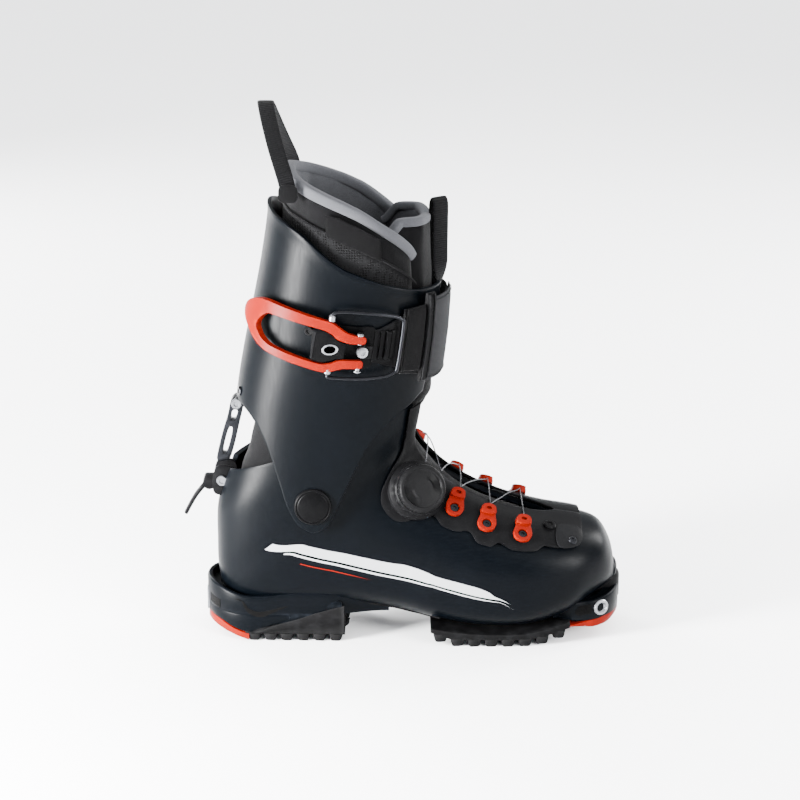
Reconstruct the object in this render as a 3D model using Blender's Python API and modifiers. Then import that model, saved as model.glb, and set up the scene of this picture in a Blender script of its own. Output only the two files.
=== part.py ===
"""Ski touring boot, right foot.

The design frame has its origin under the heel end of the sole: +X to the toe, +Y to the inner
(medial) side, +Z up. Lengths are in millimetres until a mesh is made. The empty "boot_frame"
moves the design frame so that the boot's box is centred over the world origin.
"""
import math

import bmesh
import bpy
from mathutils import Matrix, Vector

MM = 0.001

# Driving dimensions, mm
FRAME_SHIFT = (-135.341, 1.763, 0.0)
ANKLE = (75.5, 0.0, 103.5)
SHELL_WALL = 3.6
CUFF_WALL = 3.0
PIVOT_SHAFT_R = 6.0
PIVOT_BORE_R = 6.3
FRAME_LIFT = 1.3
FRAME_WALL = 1.5
LINER_LIFT = -5.8
LINER_WALL = 5.0
BOARD_TOP = 30.5

BAR_PIVOT = (22.5, 0.0, 163.5)
BRACKET_PIVOT = (11.5, 0.0, 109.0)
BAR_THICK = 8.0

BUCKLE_AXIS = (0.098, -0.088, 0.991)
BUCKLE_HINGE = (107.6, -57.9, 219.0)
BAIL_HINGE = (88.3, -58.5, 219.8)
BAIL_WIRE_R = 1.2

DIAL_PLACE = (7.85, 47.0)
GUIDE_ROWS = (6.42, 5.4, 4.5, 8.5)
GUIDE_ANGLE = 38.0

NAVY = (0.030, 0.036, 0.050)
BLACK = (0.012, 0.012, 0.013)
ORANGE = (0.85, 0.085, 0.035)
FELT = (0.16, 0.165, 0.18)
STEEL = (0.62, 0.63, 0.65)

# Loft stations of the foot part, toe to collar. Each is a section plane through a bottom point and
# a top point: bottom x, z, top x, z, half width, height of the widest point, squareness below and
# above it, and the centre's offset to the inner side.
FOOT_STATIONS = (
    (281.0, 33.5, 283.6, 47.0, 14.0, 0.50, 2.0, 2.0, 3.0),
    (273.5, 29.5, 280.5, 61.5, 26.0, 0.48, 2.2, 2.2, 3.0),
    (263.0, 24.0, 272.5, 74.0, 36.0, 0.46, 2.5, 2.4, 2.5),
    (247.0, 16.5, 256.5, 79.5, 45.0, 0.45, 2.9, 2.5, 1.0),
    (221.0, 11.0, 232.0, 84.5, 50.0, 0.42, 3.3, 2.45, -1.0),
    (189.0, 10.5, 204.0, 93.5, 50.5, 0.39, 3.3, 2.3, -1.5),
    (158.0, 14.0, 182.0, 105.0, 47.5, 0.38, 3.1, 2.1, -1.0),
    (128.0, 19.5, 165.0, 118.0, 44.0, 0.39, 2.9, 2.0, 0.0),
    (98.0, 21.5, 153.5, 132.0, 42.0, 0.40, 2.8, 2.0, 0.0),
    (66.0, 18.5, 148.0, 142.0, 41.0, 0.44, 2.7, 2.0, 0.0),
    (36.0, 16.0, 147.0, 149.0, 40.5, 0.48, 2.6, 2.1, 0.0),
    (14.5, 22.0, 148.0, 154.5, 40.5, 0.50, 2.5, 2.1, 0.0),
    (7.8, 43.0, 149.5, 159.0, 41.0, 0.50, 2.4, 2.1, 0.0),
    (7.0, 66.0, 150.5, 163.0, 42.0, 0.50, 2.4, 2.1, 0.0),
    (8.0, 92.0, 151.5, 167.0, 42.4, 0.50, 2.4, 2.1, 0.0),
    (15.0, 119.0, 152.0, 171.0, 42.0, 0.50, 2.3, 2.1, 0.0),
)
FOOT_LAST = len(FOOT_STATIONS) - 1
OPENING_START = 3.7

# Cuff sections by height: z, centre x, half length, half width, squareness.
CUFF_SECTIONS = (
    (80.0, 80.0, 60.0, 46.6, 2.5),
    (105.0, 80.0, 61.0, 47.4, 2.5),
    (140.0, 84.0, 63.5, 47.6, 2.4),
    (170.0, 88.0, 65.5, 48.4, 2.3),
    (200.0, 92.6, 65.4, 50.5, 2.2),
    (235.0, 98.0, 63.4, 53.5, 2.2),
    (270.0, 101.0, 59.5, 55.5, 2.2),
    (305.0, 104.0, 57.6, 57.0, 2.2),
)


def clear_scene():
    for item in list(bpy.data.objects):
        bpy.data.objects.remove(item, do_unlink=True)


def make_collection(name):
    group = bpy.data.collections.new(name)
    bpy.context.scene.collection.children.link(group)
    return group


def make_material(name, colour, roughness, metallic=0.0):
    material = bpy.data.materials.new(name)
    material.use_nodes = True
    shader = material.node_tree.nodes["Principled BSDF"]
    shader.inputs["Base Color"].default_value = (*colour, 1.0)
    shader.inputs["Roughness"].default_value = roughness
    shader.inputs["Metallic"].default_value = metallic
    material.diffuse_color = (*colour, 1.0)
    return material


def spline(table, place):
    """Catmull-Rom value of a table's rows at a row number that may be fractional."""
    last = len(table) - 1
    place = min(max(place, 0.0), float(last))
    low = min(int(place), last - 1)
    t = place - low
    rows = [table[min(max(low + k, 0), last)] for k in (-1, 0, 1, 2)]
    return [
        0.5 * (2 * b + (c - a) * t + (2 * a - 5 * b + 4 * c - d) * t * t + (3 * b - a - 3 * c + d) * t ** 3)
        for a, b, c, d in zip(*rows)
    ]


def lerp(a, b, t):
    return a + (b - a) * t


def span(first, last, count):
    return [lerp(first, last, k / (count - 1)) for k in range(count)]


def foot_point(u, angle):
    """Point of the foot's outer surface. Angle is 0 at the top, 90 at the outer side, 180 below."""
    bx, bz, tx, tz, width, widest, low_power, high_power, offset = spline(FOOT_STATIONS, u)
    a = math.radians(angle)
    cosine, sine = math.cos(a), math.sin(a)
    power = high_power if cosine > 0 else low_power
    across = abs(sine) ** (2 / power)
    rise = abs(cosine) ** (2 / power)
    height = widest + (1 - widest) * rise if cosine > 0 else widest * (1 - rise)
    side = -1 if sine > 0 else 1
    return Vector((lerp(bx, tx, height), offset + side * width * across, lerp(bz, tz, height)))


def foot_rows(first=0, last=None):
    """Station places shared by the nested skins, so that their facets run side by side."""
    return [0.0, 0.5, 1.0, 1.6, 2.3, 3.0, OPENING_START, *span(4.2, FOOT_LAST, 13)][first:last]


def foot_skin(u, angle, lift):
    """Point at a distance outside the foot's surface (negative is inside)."""
    step_u = 0.05 if u < FOOT_LAST - 0.1 else -0.05
    here = foot_point(u, angle)
    along = (foot_point(u + step_u, angle) - here) * (1 if step_u > 0 else -1)
    around = foot_point(u, angle + 2.0) - foot_point(u, angle - 2.0)
    return here + along.cross(around).normalized() * lift


def cuff_point(angle, z, lift=0.0):
    """Point of the cuff's outer surface. Angle is 0 in front, 90 at the outer side, 180 behind."""
    place = 0.0
    for k in range(len(CUFF_SECTIONS) - 1):
        low, high = CUFF_SECTIONS[k][0], CUFF_SECTIONS[k + 1][0]
        if z >= low:
            place = k + (z - low) / (high - low)
    _, centre, length, width, power = spline(CUFF_SECTIONS, place)
    a = math.radians(angle)
    cosine, sine = math.cos(a), math.sin(a)
    x = centre + math.copysign(abs(cosine) ** (2 / power), cosine) * (length + lift)
    y = -math.copysign(abs(sine) ** (2 / power), sine) * (width + lift)
    return Vector((x, y, z))


def grid_mesh(name, rows, loop=False):
    """Quads over rows of points; loop joins each row's end to its start."""
    mesh = bpy.data.meshes.new(name)
    width = len(rows[0])
    points = [point * MM for row in rows for point in row]
    faces = []
    for r in range(len(rows) - 1):
        for c in range(width if loop else width - 1):
            right = (c + 1) % width
            faces.append((r * width + c, r * width + right, (r + 1) * width + right, (r + 1) * width + c))
    mesh.from_pydata(points, [], faces)
    return mesh


def closed_loft(name, rows):
    """Closed solid through ring sections with a flat cap at both ends."""
    mesh = grid_mesh(name, rows, loop=True)
    cage = bmesh.new()
    cage.from_mesh(mesh)
    cage.verts.ensure_lookup_table()
    width = len(rows[0])
    cage.faces.new([cage.verts[k] for k in range(width)])
    cage.faces.new([cage.verts[len(cage.verts) - 1 - k] for k in range(width)])
    bmesh.ops.recalc_face_normals(cage, faces=cage.faces)
    cage.to_mesh(mesh)
    cage.free()
    return mesh


def add_object(name, data, material, pivot=(0.0, 0.0, 0.0), group=None):
    """Object whose mesh is in design coordinates; its origin moves to the pivot."""
    data.name = name
    item = bpy.data.objects.new(name, data)
    (group or BOOT).objects.link(item)
    data.materials.append(material)
    data.transform(Matrix.Translation(-Vector(pivot) * MM))
    item.location = Vector(pivot) * MM
    item.parent = FRAME
    return item


def solidify(item, thickness, outward=False):
    modifier = item.modifiers.new("wall", "SOLIDIFY")
    modifier.thickness = thickness * MM
    modifier.offset = 1.0 if outward else -1.0
    modifier.use_even_offset = True
    modifier.use_quality_normals = True


def cut(item, cutter):
    modifier = item.modifiers.new("cut", "BOOLEAN")
    modifier.operation = "DIFFERENCE"
    modifier.object = cutter
    modifier.solver = "EXACT"
    hide_tool(cutter)


def join(item, other):
    modifier = item.modifiers.new("join", "BOOLEAN")
    modifier.operation = "UNION"
    modifier.object = other
    modifier.solver = "EXACT"
    hide_tool(other)


def hide_tool(item):
    item.hide_render = True
    item.display_type = "WIRE"


def look_along(direction, up=(0.0, 0.0, 1.0)):
    """Rotation whose +Z points along direction and whose +Y leans to up."""
    z = Vector(direction).normalized()
    x = Vector(up).cross(z).normalized()
    y = z.cross(x)
    return Matrix((x, y, z)).transposed().to_4x4()


def cylinder_mesh(name, centre, axis, radius, length, sides=20, top_radius=None):
    """Cylinder or cone along axis, with its middle at centre."""
    cage = bmesh.new()
    bmesh.ops.create_cone(
        cage, cap_ends=True, cap_tris=False, segments=sides,
        radius1=radius * MM, radius2=(radius if top_radius is None else top_radius) * MM, depth=length * MM,
        matrix=Matrix.Translation(Vector(centre) * MM) @ look_along(axis, (0.03, 0.02, 1.0)),
    )
    mesh = bpy.data.meshes.new(name)
    cage.to_mesh(mesh)
    cage.free()
    return mesh


def box_mesh(name, low, high):
    cage = bmesh.new()
    bmesh.ops.create_cube(cage, size=1.0)
    size = [(b - a) * MM for a, b in zip(low, high)]
    middle = [(a + b) / 2 * MM for a, b in zip(low, high)]
    placement = Matrix.Translation(middle) @ Matrix.Diagonal((*size, 1.0))
    bmesh.ops.transform(cage, matrix=placement, verts=cage.verts)
    mesh = bpy.data.meshes.new(name)
    cage.to_mesh(mesh)
    cage.free()
    return mesh


def lathe_mesh(name, centre, axis, profile, sides=20, hollow=False):
    """Turned solid. The profile is (radius, height along the axis); a hollow one closes on itself."""
    placement = Matrix.Translation(Vector(centre)) @ look_along(axis, (0.03, 0.02, 1.0))
    rows = [
        [placement @ Vector((r * math.cos(a), r * math.sin(a), h)) for a in span(0, math.tau, sides + 1)[:-1]]
        for r, h in profile
    ]
    if not hollow:
        return closed_loft(name, rows)
    mesh = grid_mesh(name, [*rows, rows[0]], loop=True)
    cage = bmesh.new()
    cage.from_mesh(mesh)
    bmesh.ops.remove_doubles(cage, verts=cage.verts, dist=0.02 * MM)
    bmesh.ops.recalc_face_normals(cage, faces=cage.faces)
    cage.to_mesh(mesh)
    cage.free()
    return mesh


def wrapped_plate(name, outlines, low, high, stations=()):
    """Plate whose outline is (angle, height) on the cuff, between two distances outside it."""
    mesh = plate_mesh(name, outlines, high - low, Matrix.Identity(4))
    cage = bmesh.new()
    cage.from_mesh(mesh)
    for angle in stations:
        bmesh.ops.bisect_plane(
            cage, geom=[*cage.verts, *cage.edges, *cage.faces], dist=0.01 * MM,
            plane_co=(angle * MM, 0.0, 0.0), plane_no=(1.0, 0.0, 0.0),
        )
    middle = (low + high) / 2
    for vert in cage.verts:
        angle, z, t = vert.co / MM
        vert.co = cuff_point(angle, z, middle + t) * MM
    bmesh.ops.recalc_face_normals(cage, faces=cage.faces)
    cage.to_mesh(mesh)
    cage.free()
    return mesh


def foot_placement(u, angle, lift):
    """Placement on the foot's surface: +Z outwards, +Y up over the instep."""
    origin = foot_skin(u, angle, lift)
    normal = (foot_skin(u, angle, lift + 1.0) - origin).normalized()
    upward = foot_point(u, angle - 2.0 if angle < 180 else angle + 2.0) - foot_point(u, angle)
    x = upward.cross(normal).normalized()
    y = normal.cross(x)
    turn = Matrix((x, y, normal)).transposed().to_4x4()
    return Matrix.Translation(origin * MM) @ turn


def plate_mesh(name, outlines, thickness, placement):
    """Flat plate from an outer outline and its holes, centred on the placement's XY plane."""
    curve = bpy.data.curves.new(name, "CURVE")
    curve.dimensions = "2D"
    curve.fill_mode = "BOTH"
    curve.extrude = thickness * MM / 2
    for outline in outlines:
        strand = curve.splines.new("POLY")
        strand.points.add(len(outline) - 1)
        for point, (x, y) in zip(strand.points, outline):
            point.co = (x * MM, y * MM, 0.0, 1.0)
        strand.use_cyclic_u = True
    carrier = bpy.data.objects.new(name, curve)
    BOOT.objects.link(carrier)
    bpy.context.view_layer.update()
    depsgraph = bpy.context.evaluated_depsgraph_get()
    mesh = bpy.data.meshes.new_from_object(carrier.evaluated_get(depsgraph))
    bpy.data.objects.remove(carrier, do_unlink=True)
    cage = bmesh.new()
    cage.from_mesh(mesh)
    bmesh.ops.remove_doubles(cage, verts=cage.verts, dist=0.02 * MM)
    bmesh.ops.recalc_face_normals(cage, faces=cage.faces)
    cage.to_mesh(mesh)
    cage.free()
    mesh.transform(placement)
    return mesh


def plane_xz(y):
    """Placement that maps a plate's x, y to the design's x, z at a fixed y."""
    return Matrix(((1, 0, 0, 0), (0, 0, -1, y * MM), (0, 1, 0, 0), (0, 0, 0, 1)))


def plane_xy(z):
    """Placement that lifts a plate lying in the XY plane to a height."""
    return Matrix.Translation((0.0, 0.0, z * MM))


def ring(centre, radius, count, start=0.0, stretch=1.0):
    """Points of a circle or ellipse, used as an outline."""
    return [
        (centre[0] + radius * math.cos(start + 2 * math.pi * k / count),
         centre[1] + stretch * radius * math.sin(start + 2 * math.pi * k / count))
        for k in range(count)
    ]


def rod(name, points, radius, material, pivot=(0.0, 0.0, 0.0), resolution=2, cyclic=False):
    """Wire or cord with flat ends through a list of points."""
    curve = bpy.data.curves.new(name, "CURVE")
    curve.dimensions = "3D"
    curve.bevel_depth = radius * MM
    curve.bevel_resolution = resolution
    curve.use_fill_caps = not cyclic
    strand = curve.splines.new("POLY")
    strand.points.add(len(points) - 1)
    for point, place in zip(strand.points, points):
        point.co = (*[(a - b) * MM for a, b in zip(place, pivot)], 1.0)
    strand.use_cyclic_u = cyclic
    item = bpy.data.objects.new(name, curve)
    BOOT.objects.link(item)
    curve.materials.append(material)
    item.location = Vector(pivot) * MM
    item.parent = FRAME
    return item


def smooth_route(points, count):
    """Evenly counted points of a smooth curve through a route's own points."""
    return [tuple(spline(points, place)) for place in span(0, len(points) - 1, count)]


def ribbon(name, route, widths, thickness, material, across=(0.0, 1.0, 0.0), pivot=(0.0, 0.0, 0.0)):
    """Webbing strip along a route; widths lie along the across direction."""
    side = Vector(across).normalized()
    rows = []
    for k, place in enumerate(route):
        before = Vector(route[max(k - 1, 0)])
        after = Vector(route[min(k + 1, len(route) - 1)])
        lift = side.cross((after - before).normalized()) * thickness / 2
        half = side * widths / 2
        here = Vector(place)
        rows.append([here - half - lift, here + half - lift, here + half + lift, here - half + lift])
    return add_object(name, closed_loft(name, rows), material, pivot)


# Lower shell and sole -----------------------------------------------------------------------

def shell_edge(u):
    """Angle from the top to the instep opening's edge on either side."""
    if u < OPENING_START:
        return 0.0
    share = min((u - OPENING_START) / 4.5, 1.0)
    return 30.0 * math.sin(math.pi / 2 * share) ** 0.7


def heel_outline(inset=0.0, rear_inset=0.0, front=96.0):
    """Plan outline of the heel block."""
    half = 34.0 - inset
    arc = [
        (34.0 - (34.6 - rear_inset) * math.cos(a), half * math.sin(a))
        for a in span(-math.pi / 2, math.pi / 2, 13)
    ]
    return [(front, -half - 1.5), *arc, (front, half + 1.5)]


def heel_ledge_outline():
    """The heel block's rim, open to the front."""
    return [*heel_outline(front=92.0), *reversed(heel_outline(4.0, 10.2, 92.0))]


def toe_outline(rear=262.5):
    """Plan outline of the toe block."""
    arc = [(262.0 + 24.8 * math.sin(a), 33.5 * math.cos(a)) for a in span(0.1, math.pi - 0.1, 13)]
    return [(rear - 4.0, 35.0), *arc, (rear - 4.0, -35.0)]


def shell_rows():
    return [
        [foot_point(u, angle) for angle in span(shell_edge(u), 360.0 - shell_edge(u), 23)]
        for u in foot_rows()
    ]


def fill_toe(mesh, limit):
    """Weld the closed rows' seam and fill the ring at the toe's tip."""
    cage = bmesh.new()
    cage.from_mesh(mesh)
    bmesh.ops.remove_doubles(cage, verts=cage.verts, dist=0.05 * MM)
    tip = [edge for edge in cage.edges if edge.is_boundary and all(v.co.x > limit * MM for v in edge.verts)]
    bmesh.ops.edgeloop_fill(cage, edges=tip)
    bmesh.ops.recalc_face_normals(cage, faces=cage.faces)
    cage.to_mesh(mesh)
    cage.free()


def tool(name, mesh):
    return add_object(name, mesh, PLASTIC, group=TOOLS)


def make_lower_shell():
    mesh = grid_mesh("lower_shell", shell_rows())
    fill_toe(mesh, 280.5)
    shell = add_object("lower_shell", mesh, PLASTIC)
    solidify(shell, SHELL_WALL)
    join(shell, tool("heel_block", plate_mesh("heel_block", [heel_outline()], 10.0, plane_xy(17.0))))
    join(shell, tool("heel_ledge", plate_mesh("heel_ledge", [heel_ledge_outline()], 18.0, plane_xy(30.0))))
    join(shell, tool("toe_block", plate_mesh("toe_block", [toe_outline()], 13.0, plane_xy(23.8))))
    cut(shell, tool("pivot_bore", cylinder_mesh("pivot_bore", ANKLE, (0, 1, 0), PIVOT_BORE_R, 140.0, 18)))
    cut(shell, tool("bracket_notch", box_mesh("bracket_notch", (-10, -12, 97.6), (24, 12, 130))))
    cut(shell, tool("heel_pocket", box_mesh("heel_pocket", (-5, -10, 13.6), (2.2, 10, 31))))
    for side in (-1, 1):
        pocket = cylinder_mesh("toe_pocket", (272.6, side * 34.0, 23.6), (0, 1, 0), 5.9, 14.0, 16)
        cut(shell, tool("toe_pocket", pocket))


def slab(name, sections, material):
    """Sole piece through (x, half width, bottom, top) sections, with a bevelled bottom edge."""
    rows = [
        [Vector((x, -half, top)), Vector((x, -half, low + 2.0)), Vector((x, -half + 2.0, low)),
         Vector((x, half - 2.0, low)), Vector((x, half, low + 2.0)), Vector((x, half, top))]
        for x, half, low, top in sections
    ]
    return add_object(name, closed_loft(name, rows), material)


def heel_half(x):
    """Half width of the heel's plan at a distance from its end."""
    if x > 34.0:
        return 34.0 + 1.5 * (x - 34.0) / 62.0
    return 34.0 * math.sqrt(max(1.0 - ((34.0 - x) / 34.6) ** 2, 0.0))


def toe_half(x):
    """Half width of the toe's plan."""
    if x < 262.0:
        return 33.5 + 10.0 * (262.0 - x) / 11.0 * 0.55
    return 33.5 * math.sqrt(max(1.0 - ((x - 262.0) / 24.8) ** 2, 0.0))


def make_sole():
    heel_xs = [0.6, 3.0, 7.0, 12.0, 19.0, 26.6]
    slab("heel_plate", [(x, heel_half(x), 8.6 - 8.2 * x / 28.0, 11.6) for x in heel_xs], ORANGE_PLASTIC)
    slab("outsole_heel", [(x, heel_half(x), 0.0, 11.6) for x in (27.0, 60.0, 90.0, 96.0)], RUBBER)
    fore = (
        (155.0, 44.0, 5.0, 13.4), (170.0, 44.5, 0.0, 11.4), (189.0, 45.5, 0.0, 9.8),
        (207.0, 45.5, 0.0, 9.6), (222.0, 44.5, 0.0, 10.2), (238.0, 42.0, 3.0, 13.2), (251.0, 38.5, 6.4, 16.6),
    )
    slab("outsole_forefoot", fore, RUBBER)
    toe_xs = [251.4, 262.0, 270.0, 277.0, 282.5, 285.8]
    slab("toe_plate", [(x, toe_half(x), 6.5 + 0.2 * (x - 251.0), 16.8) for x in toe_xs], ORANGE_PLASTIC)


def make_inserts():
    socket = [(5.6, 0.0), (5.6, 3.6), (3.4, 3.6), (0.8, 0.8)]
    for side, label in ((-1, "lateral"), (1, "medial")):
        mesh = lathe_mesh(f"toe_insert_{label}", (272.6, side * 27.6, 23.6), (0, side, 0), socket, 16)
        add_object(f"toe_insert_{label}", mesh, METAL)
    add_object("heel_insert", box_mesh("heel_insert", (-0.6, -9.6, 14.0), (1.9, 9.6, 30.6)), METAL)


def make_boot_board():
    rows = []
    for u in (4.0, 4.6, 5.2, 5.8, 6.5, 7.2, 7.8):
        bx, bz, _, _, width, _, _, _, offset = spline(FOOT_STATIONS, u)
        low, half = bz + SHELL_WALL + 4.6, width * 0.5
        rows.append([Vector((bx, offset + y, z)) for y, z in
                     ((-half, BOARD_TOP), (-half, low), (half, low), (half, BOARD_TOP))])
    add_object("boot_board", closed_loft("boot_board", rows), GREY_PLASTIC)


# Soft pieces ----------------------------------------------------------------------------------

def liner_point(u, angle):
    """Outer surface of the liner's foot, which rests on the boot board."""
    point = foot_skin(u, angle, LINER_LIFT)
    point.z = max(point.z, BOARD_TOP + 0.5)
    return point


def make_liner_foot():
    rows = []
    for u in foot_rows(2, -1):
        edge = shell_edge(u) + 14.0 if u > OPENING_START else 0.0
        rows.append([liner_point(u, angle) for angle in span(edge, 360.0 - edge, 17)])
    mesh = grid_mesh("liner_foot", rows)
    fill_toe(mesh, max(min(p.x for p in rows[0]) - 0.1, 262.0))
    item = add_object("liner_foot", mesh, FABRIC)
    solidify(item, LINER_WALL)


LINER_TOPS = ((0, 268), (30, 268), (45, 280), (72, 296), (100, 311), (140, 322), (180, 327))
LINER_BASES = ((0, 186), (45, 184), (90, 168), (140, 154), (180, 150))
CUFF_BASES = (
    (0, 177), (24.5, 177), (39, 170.3), (51, 163.3), (61, 154.8), (68.6, 144), (72, 134.6), (75.7, 123.5),
    (79.8, 110), (84, 97.4), (88, 87.5), (92.4, 84), (96, 86), (100, 89.5), (105.5, 100.5), (110.8, 114.5),
    (117.5, 129.5), (125.4, 144.7), (137, 158.5), (148.6, 165.4), (160, 168.4), (180, 169.7),
)
CUFF_TOPS = ((0, 250), (40, 251), (64, 256), (87, 265.5), (99, 273.5), (124, 291), (150, 299.5), (180, 304.5))


def profile_at(table, angle):
    """Height read from a table of (angle, height), the same on both sides."""
    angle = angle % 360.0
    angle = 360.0 - angle if angle > 180.0 else angle
    for (a, low), (b, high) in zip(table, table[1:]):
        if angle <= b:
            return lerp(low, high, (angle - a) / (b - a))
    return table[-1][1]


def liner_lift(angle):
    """The liner stands further off the cuff behind, where the lean bar's hanger sits."""
    behind = max(-math.cos(math.radians(angle)), 0.0)
    return -CUFF_WALL - 2.0 - 5.0 * behind ** 4


def make_liner_cuff():
    rows = []
    for t in span(0.0, 1.0, 6):
        rows.append([
            cuff_point(a, lerp(profile_at(LINER_BASES, a), profile_at(LINER_TOPS, a), t), liner_lift(a))
            for a in span(36.0, 324.0, 21)
        ])
    item = add_object("liner_cuff", grid_mesh("liner_cuff", rows), FABRIC, pivot=ANKLE)
    flip_outwards(item)
    solidify(item, 6.0)


def make_liner_tongue():
    rows = [[cuff_point(a, z, -CUFF_WALL - 2.0) for a in span(-32.0, 32.0, 7)] for z in span(188.0, 293.0, 6)]
    item = add_object("liner_tongue", grid_mesh("liner_tongue", rows), FABRIC, pivot=ANKLE)
    flip_outwards(item)
    solidify(item, 6.0)


def flip_outwards(item):
    """Turn an open cuff surface's normals away from the leg."""
    mesh = item.data
    face = mesh.polygons[len(mesh.polygons) // 2]
    centre = Vector((98.0 - ANKLE[0], 0.0, face.center.z / MM)) * MM
    if face.normal.dot(face.center - centre) < 0:
        mesh.flip_normals()


def make_gaiter():
    us = foot_rows(7, 16)
    lift = -SHELL_WALL - 1.4
    rows = []
    for u in us:
        reach = shell_edge(u) + 5.0
        rows.append([foot_skin(u, angle, lift) for angle in span(-reach, reach, 7)])
    item = add_object("gaiter", grid_mesh("gaiter", rows), GAITER)
    face = item.data.polygons[0]
    if face.normal.z < 0:
        item.data.flip_normals()
    solidify(item, 1.0)


FRAME_EDGE = (
    (3.0, 44.0), (3.6, 50.0), (5.0, 56.0), (6.3, 56.0), (7.1, 55.0), (7.7, 65.0), (8.3, 68.5), (9.2, 63.0),
    (9.8, 50.0), (10.6, 39.0), (12.0, 34.0), (15.0, 35.0),
)


def make_lace_frame():
    """Overlay round the instep opening; the two sides meet in front."""
    mesh = bpy.data.meshes.new("lace_frame")
    us = foot_rows(5)
    half = 4
    points, faces = [], []
    for u in us:
        outer = profile_at(FRAME_EDGE, u)
        inner = max(0.8 * shell_edge(u), 2.0)
        angles = [*span(outer, inner, half), *span(-inner, -outer, half)]
        points += [foot_skin(u, angle, FRAME_LIFT) * MM for angle in angles]
    for r in range(len(us) - 1):
        for c in range(2 * half - 1):
            if c == half - 1 and us[r] > 3.7:
                continue
            k = r * 2 * half + c
            faces.append((k, k + 1, k + 1 + 2 * half, k + 2 * half))
    mesh.from_pydata(points, [], faces)
    item = add_object("lace_frame", mesh, BLACK_PLASTIC)
    if mesh.polygons[half - 1].normal.z < 0:
        mesh.flip_normals()
    solidify(item, FRAME_WALL, outward=True)


# Cuff -------------------------------------------------------------------------------------------

def cuff_angles():
    half = [24.5, 38, 50, 60, 67, 72, 77, 82, 87, 92, 97, 102, 107, 113, 120, 129, 141, 158, 180]
    return [*half, *[360.0 - a for a in reversed(half[:-1])]]


def cuff_rows(count, lift=0.0):
    """Rows from the lower edge to the rim; the front edges close in towards the top."""
    rows = []
    for t in span(0.0, 1.0, count):
        row = []
        for angle in cuff_angles():
            closing = 18.5 * t * max(1.0 - (min(angle, 360.0 - angle) - 24.5) / 40.0, 0.0)
            turned = angle - closing if angle < 180 else angle + closing
            z = lerp(profile_at(CUFF_BASES, angle), profile_at(CUFF_TOPS, turned), t)
            row.append(cuff_point(turned, z, lift))
        rows.append(row)
    return rows


def make_cuff():
    cuff = add_object("cuff", grid_mesh("cuff", cuff_rows(7)), PLASTIC, pivot=ANKLE)
    flip_outwards(cuff)
    solidify(cuff, CUFF_WALL)
    cut(cuff, tool("cuff_bore", cylinder_mesh("cuff_bore", ANKLE, (0, 1, 0), PIVOT_BORE_R, 140.0, 18)))


def make_pivots():
    profile = [(12.5, 0.0), (12.5, 1.4), (10.5, 2.8), (7.0, 2.8), (7.0, 2.2)]
    for side, label in ((-1, "lateral"), (1, "medial")):
        centre = (ANKLE[0], side * 47.9, ANKLE[2])
        shaft = [(PIVOT_SHAFT_R, -9.0), (PIVOT_SHAFT_R, 0.0)]
        mesh = lathe_mesh(f"pivot_rivet_{label}", centre, (0, side, 0), [*shaft, *profile], 18)
        add_object(f"pivot_rivet_{label}", mesh, METAL, pivot=ANKLE)


# Power strap ------------------------------------------------------------------------------------

def band(name, sections, low, high, material):
    """Strap on the cuff through (angle, bottom, top) sections between two distances."""
    rows = [
        [cuff_point(a, z0, low), cuff_point(a, z0, high), cuff_point(a, z1, high), cuff_point(a, z1, low)]
        for a, z0, z1 in sections
    ]
    return add_object(name, closed_loft(name, rows), material, pivot=ANKLE)


def make_strap():
    strap = [
        (a, lerp(196.5, 186.5, min((57 - a) / 57, 1.0)), lerp(241.0, 245.0, min((57 - a) / 57, 1.0)))
        for a in (57, 46, 34, 22, 11, 0, -11, -22, -34, -46, -58, -70, -82)
    ]
    band("power_strap", strap, 3.0, 5.2, WEBBING)
    band("strap_pad", [(56, 199, 241), (49, 198, 242), (43.5, 197, 243)], 5.9, 7.4, WEBBING)
    band("strap_bar", [(42.5, 190, 250), (39, 189.5, 250.5), (36, 189, 250.5)], 6.1, 8.8, BLACK_PLASTIC)
    rungs = [(73.5, 205, 228), (66, 203, 231), (56, 200, 236), (45, 198, 238)]
    ladder = band("strap_ladder", rungs, 0.5, 2.6, BLACK_PLASTIC)
    hook_section = ((209, 1.5), (209, 8.2), (226, 8.2), (226, 1.5))
    hook = [[cuff_point(a, z, h) for z, h in hook_section] for a in (66.5, 63.5)]
    join(ladder, tool("ladder_hook", closed_loft("ladder_hook", hook)))
    for k, z in enumerate((204.0, 229.0)):
        centre = cuff_point(-74.0, z, 6.0)
        axis = cuff_point(-74.0, z, 7.0) - centre
        mesh = lathe_mesh("rivet", centre, axis, [(4.0, 0.0), (4.0, 0.6), (2.8, 1.6)], 12)
        add_object(f"strap_rivet_{k + 1}", mesh, METAL, pivot=ANKLE)


# Buckle -----------------------------------------------------------------------------------------

def axis_point(origin, z):
    """Point of the buckle's axis direction through origin at a height."""
    t = (z - origin[2]) / BUCKLE_AXIS[2]
    return tuple(o + t * a for o, a in zip(origin, BUCKLE_AXIS))


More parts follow.
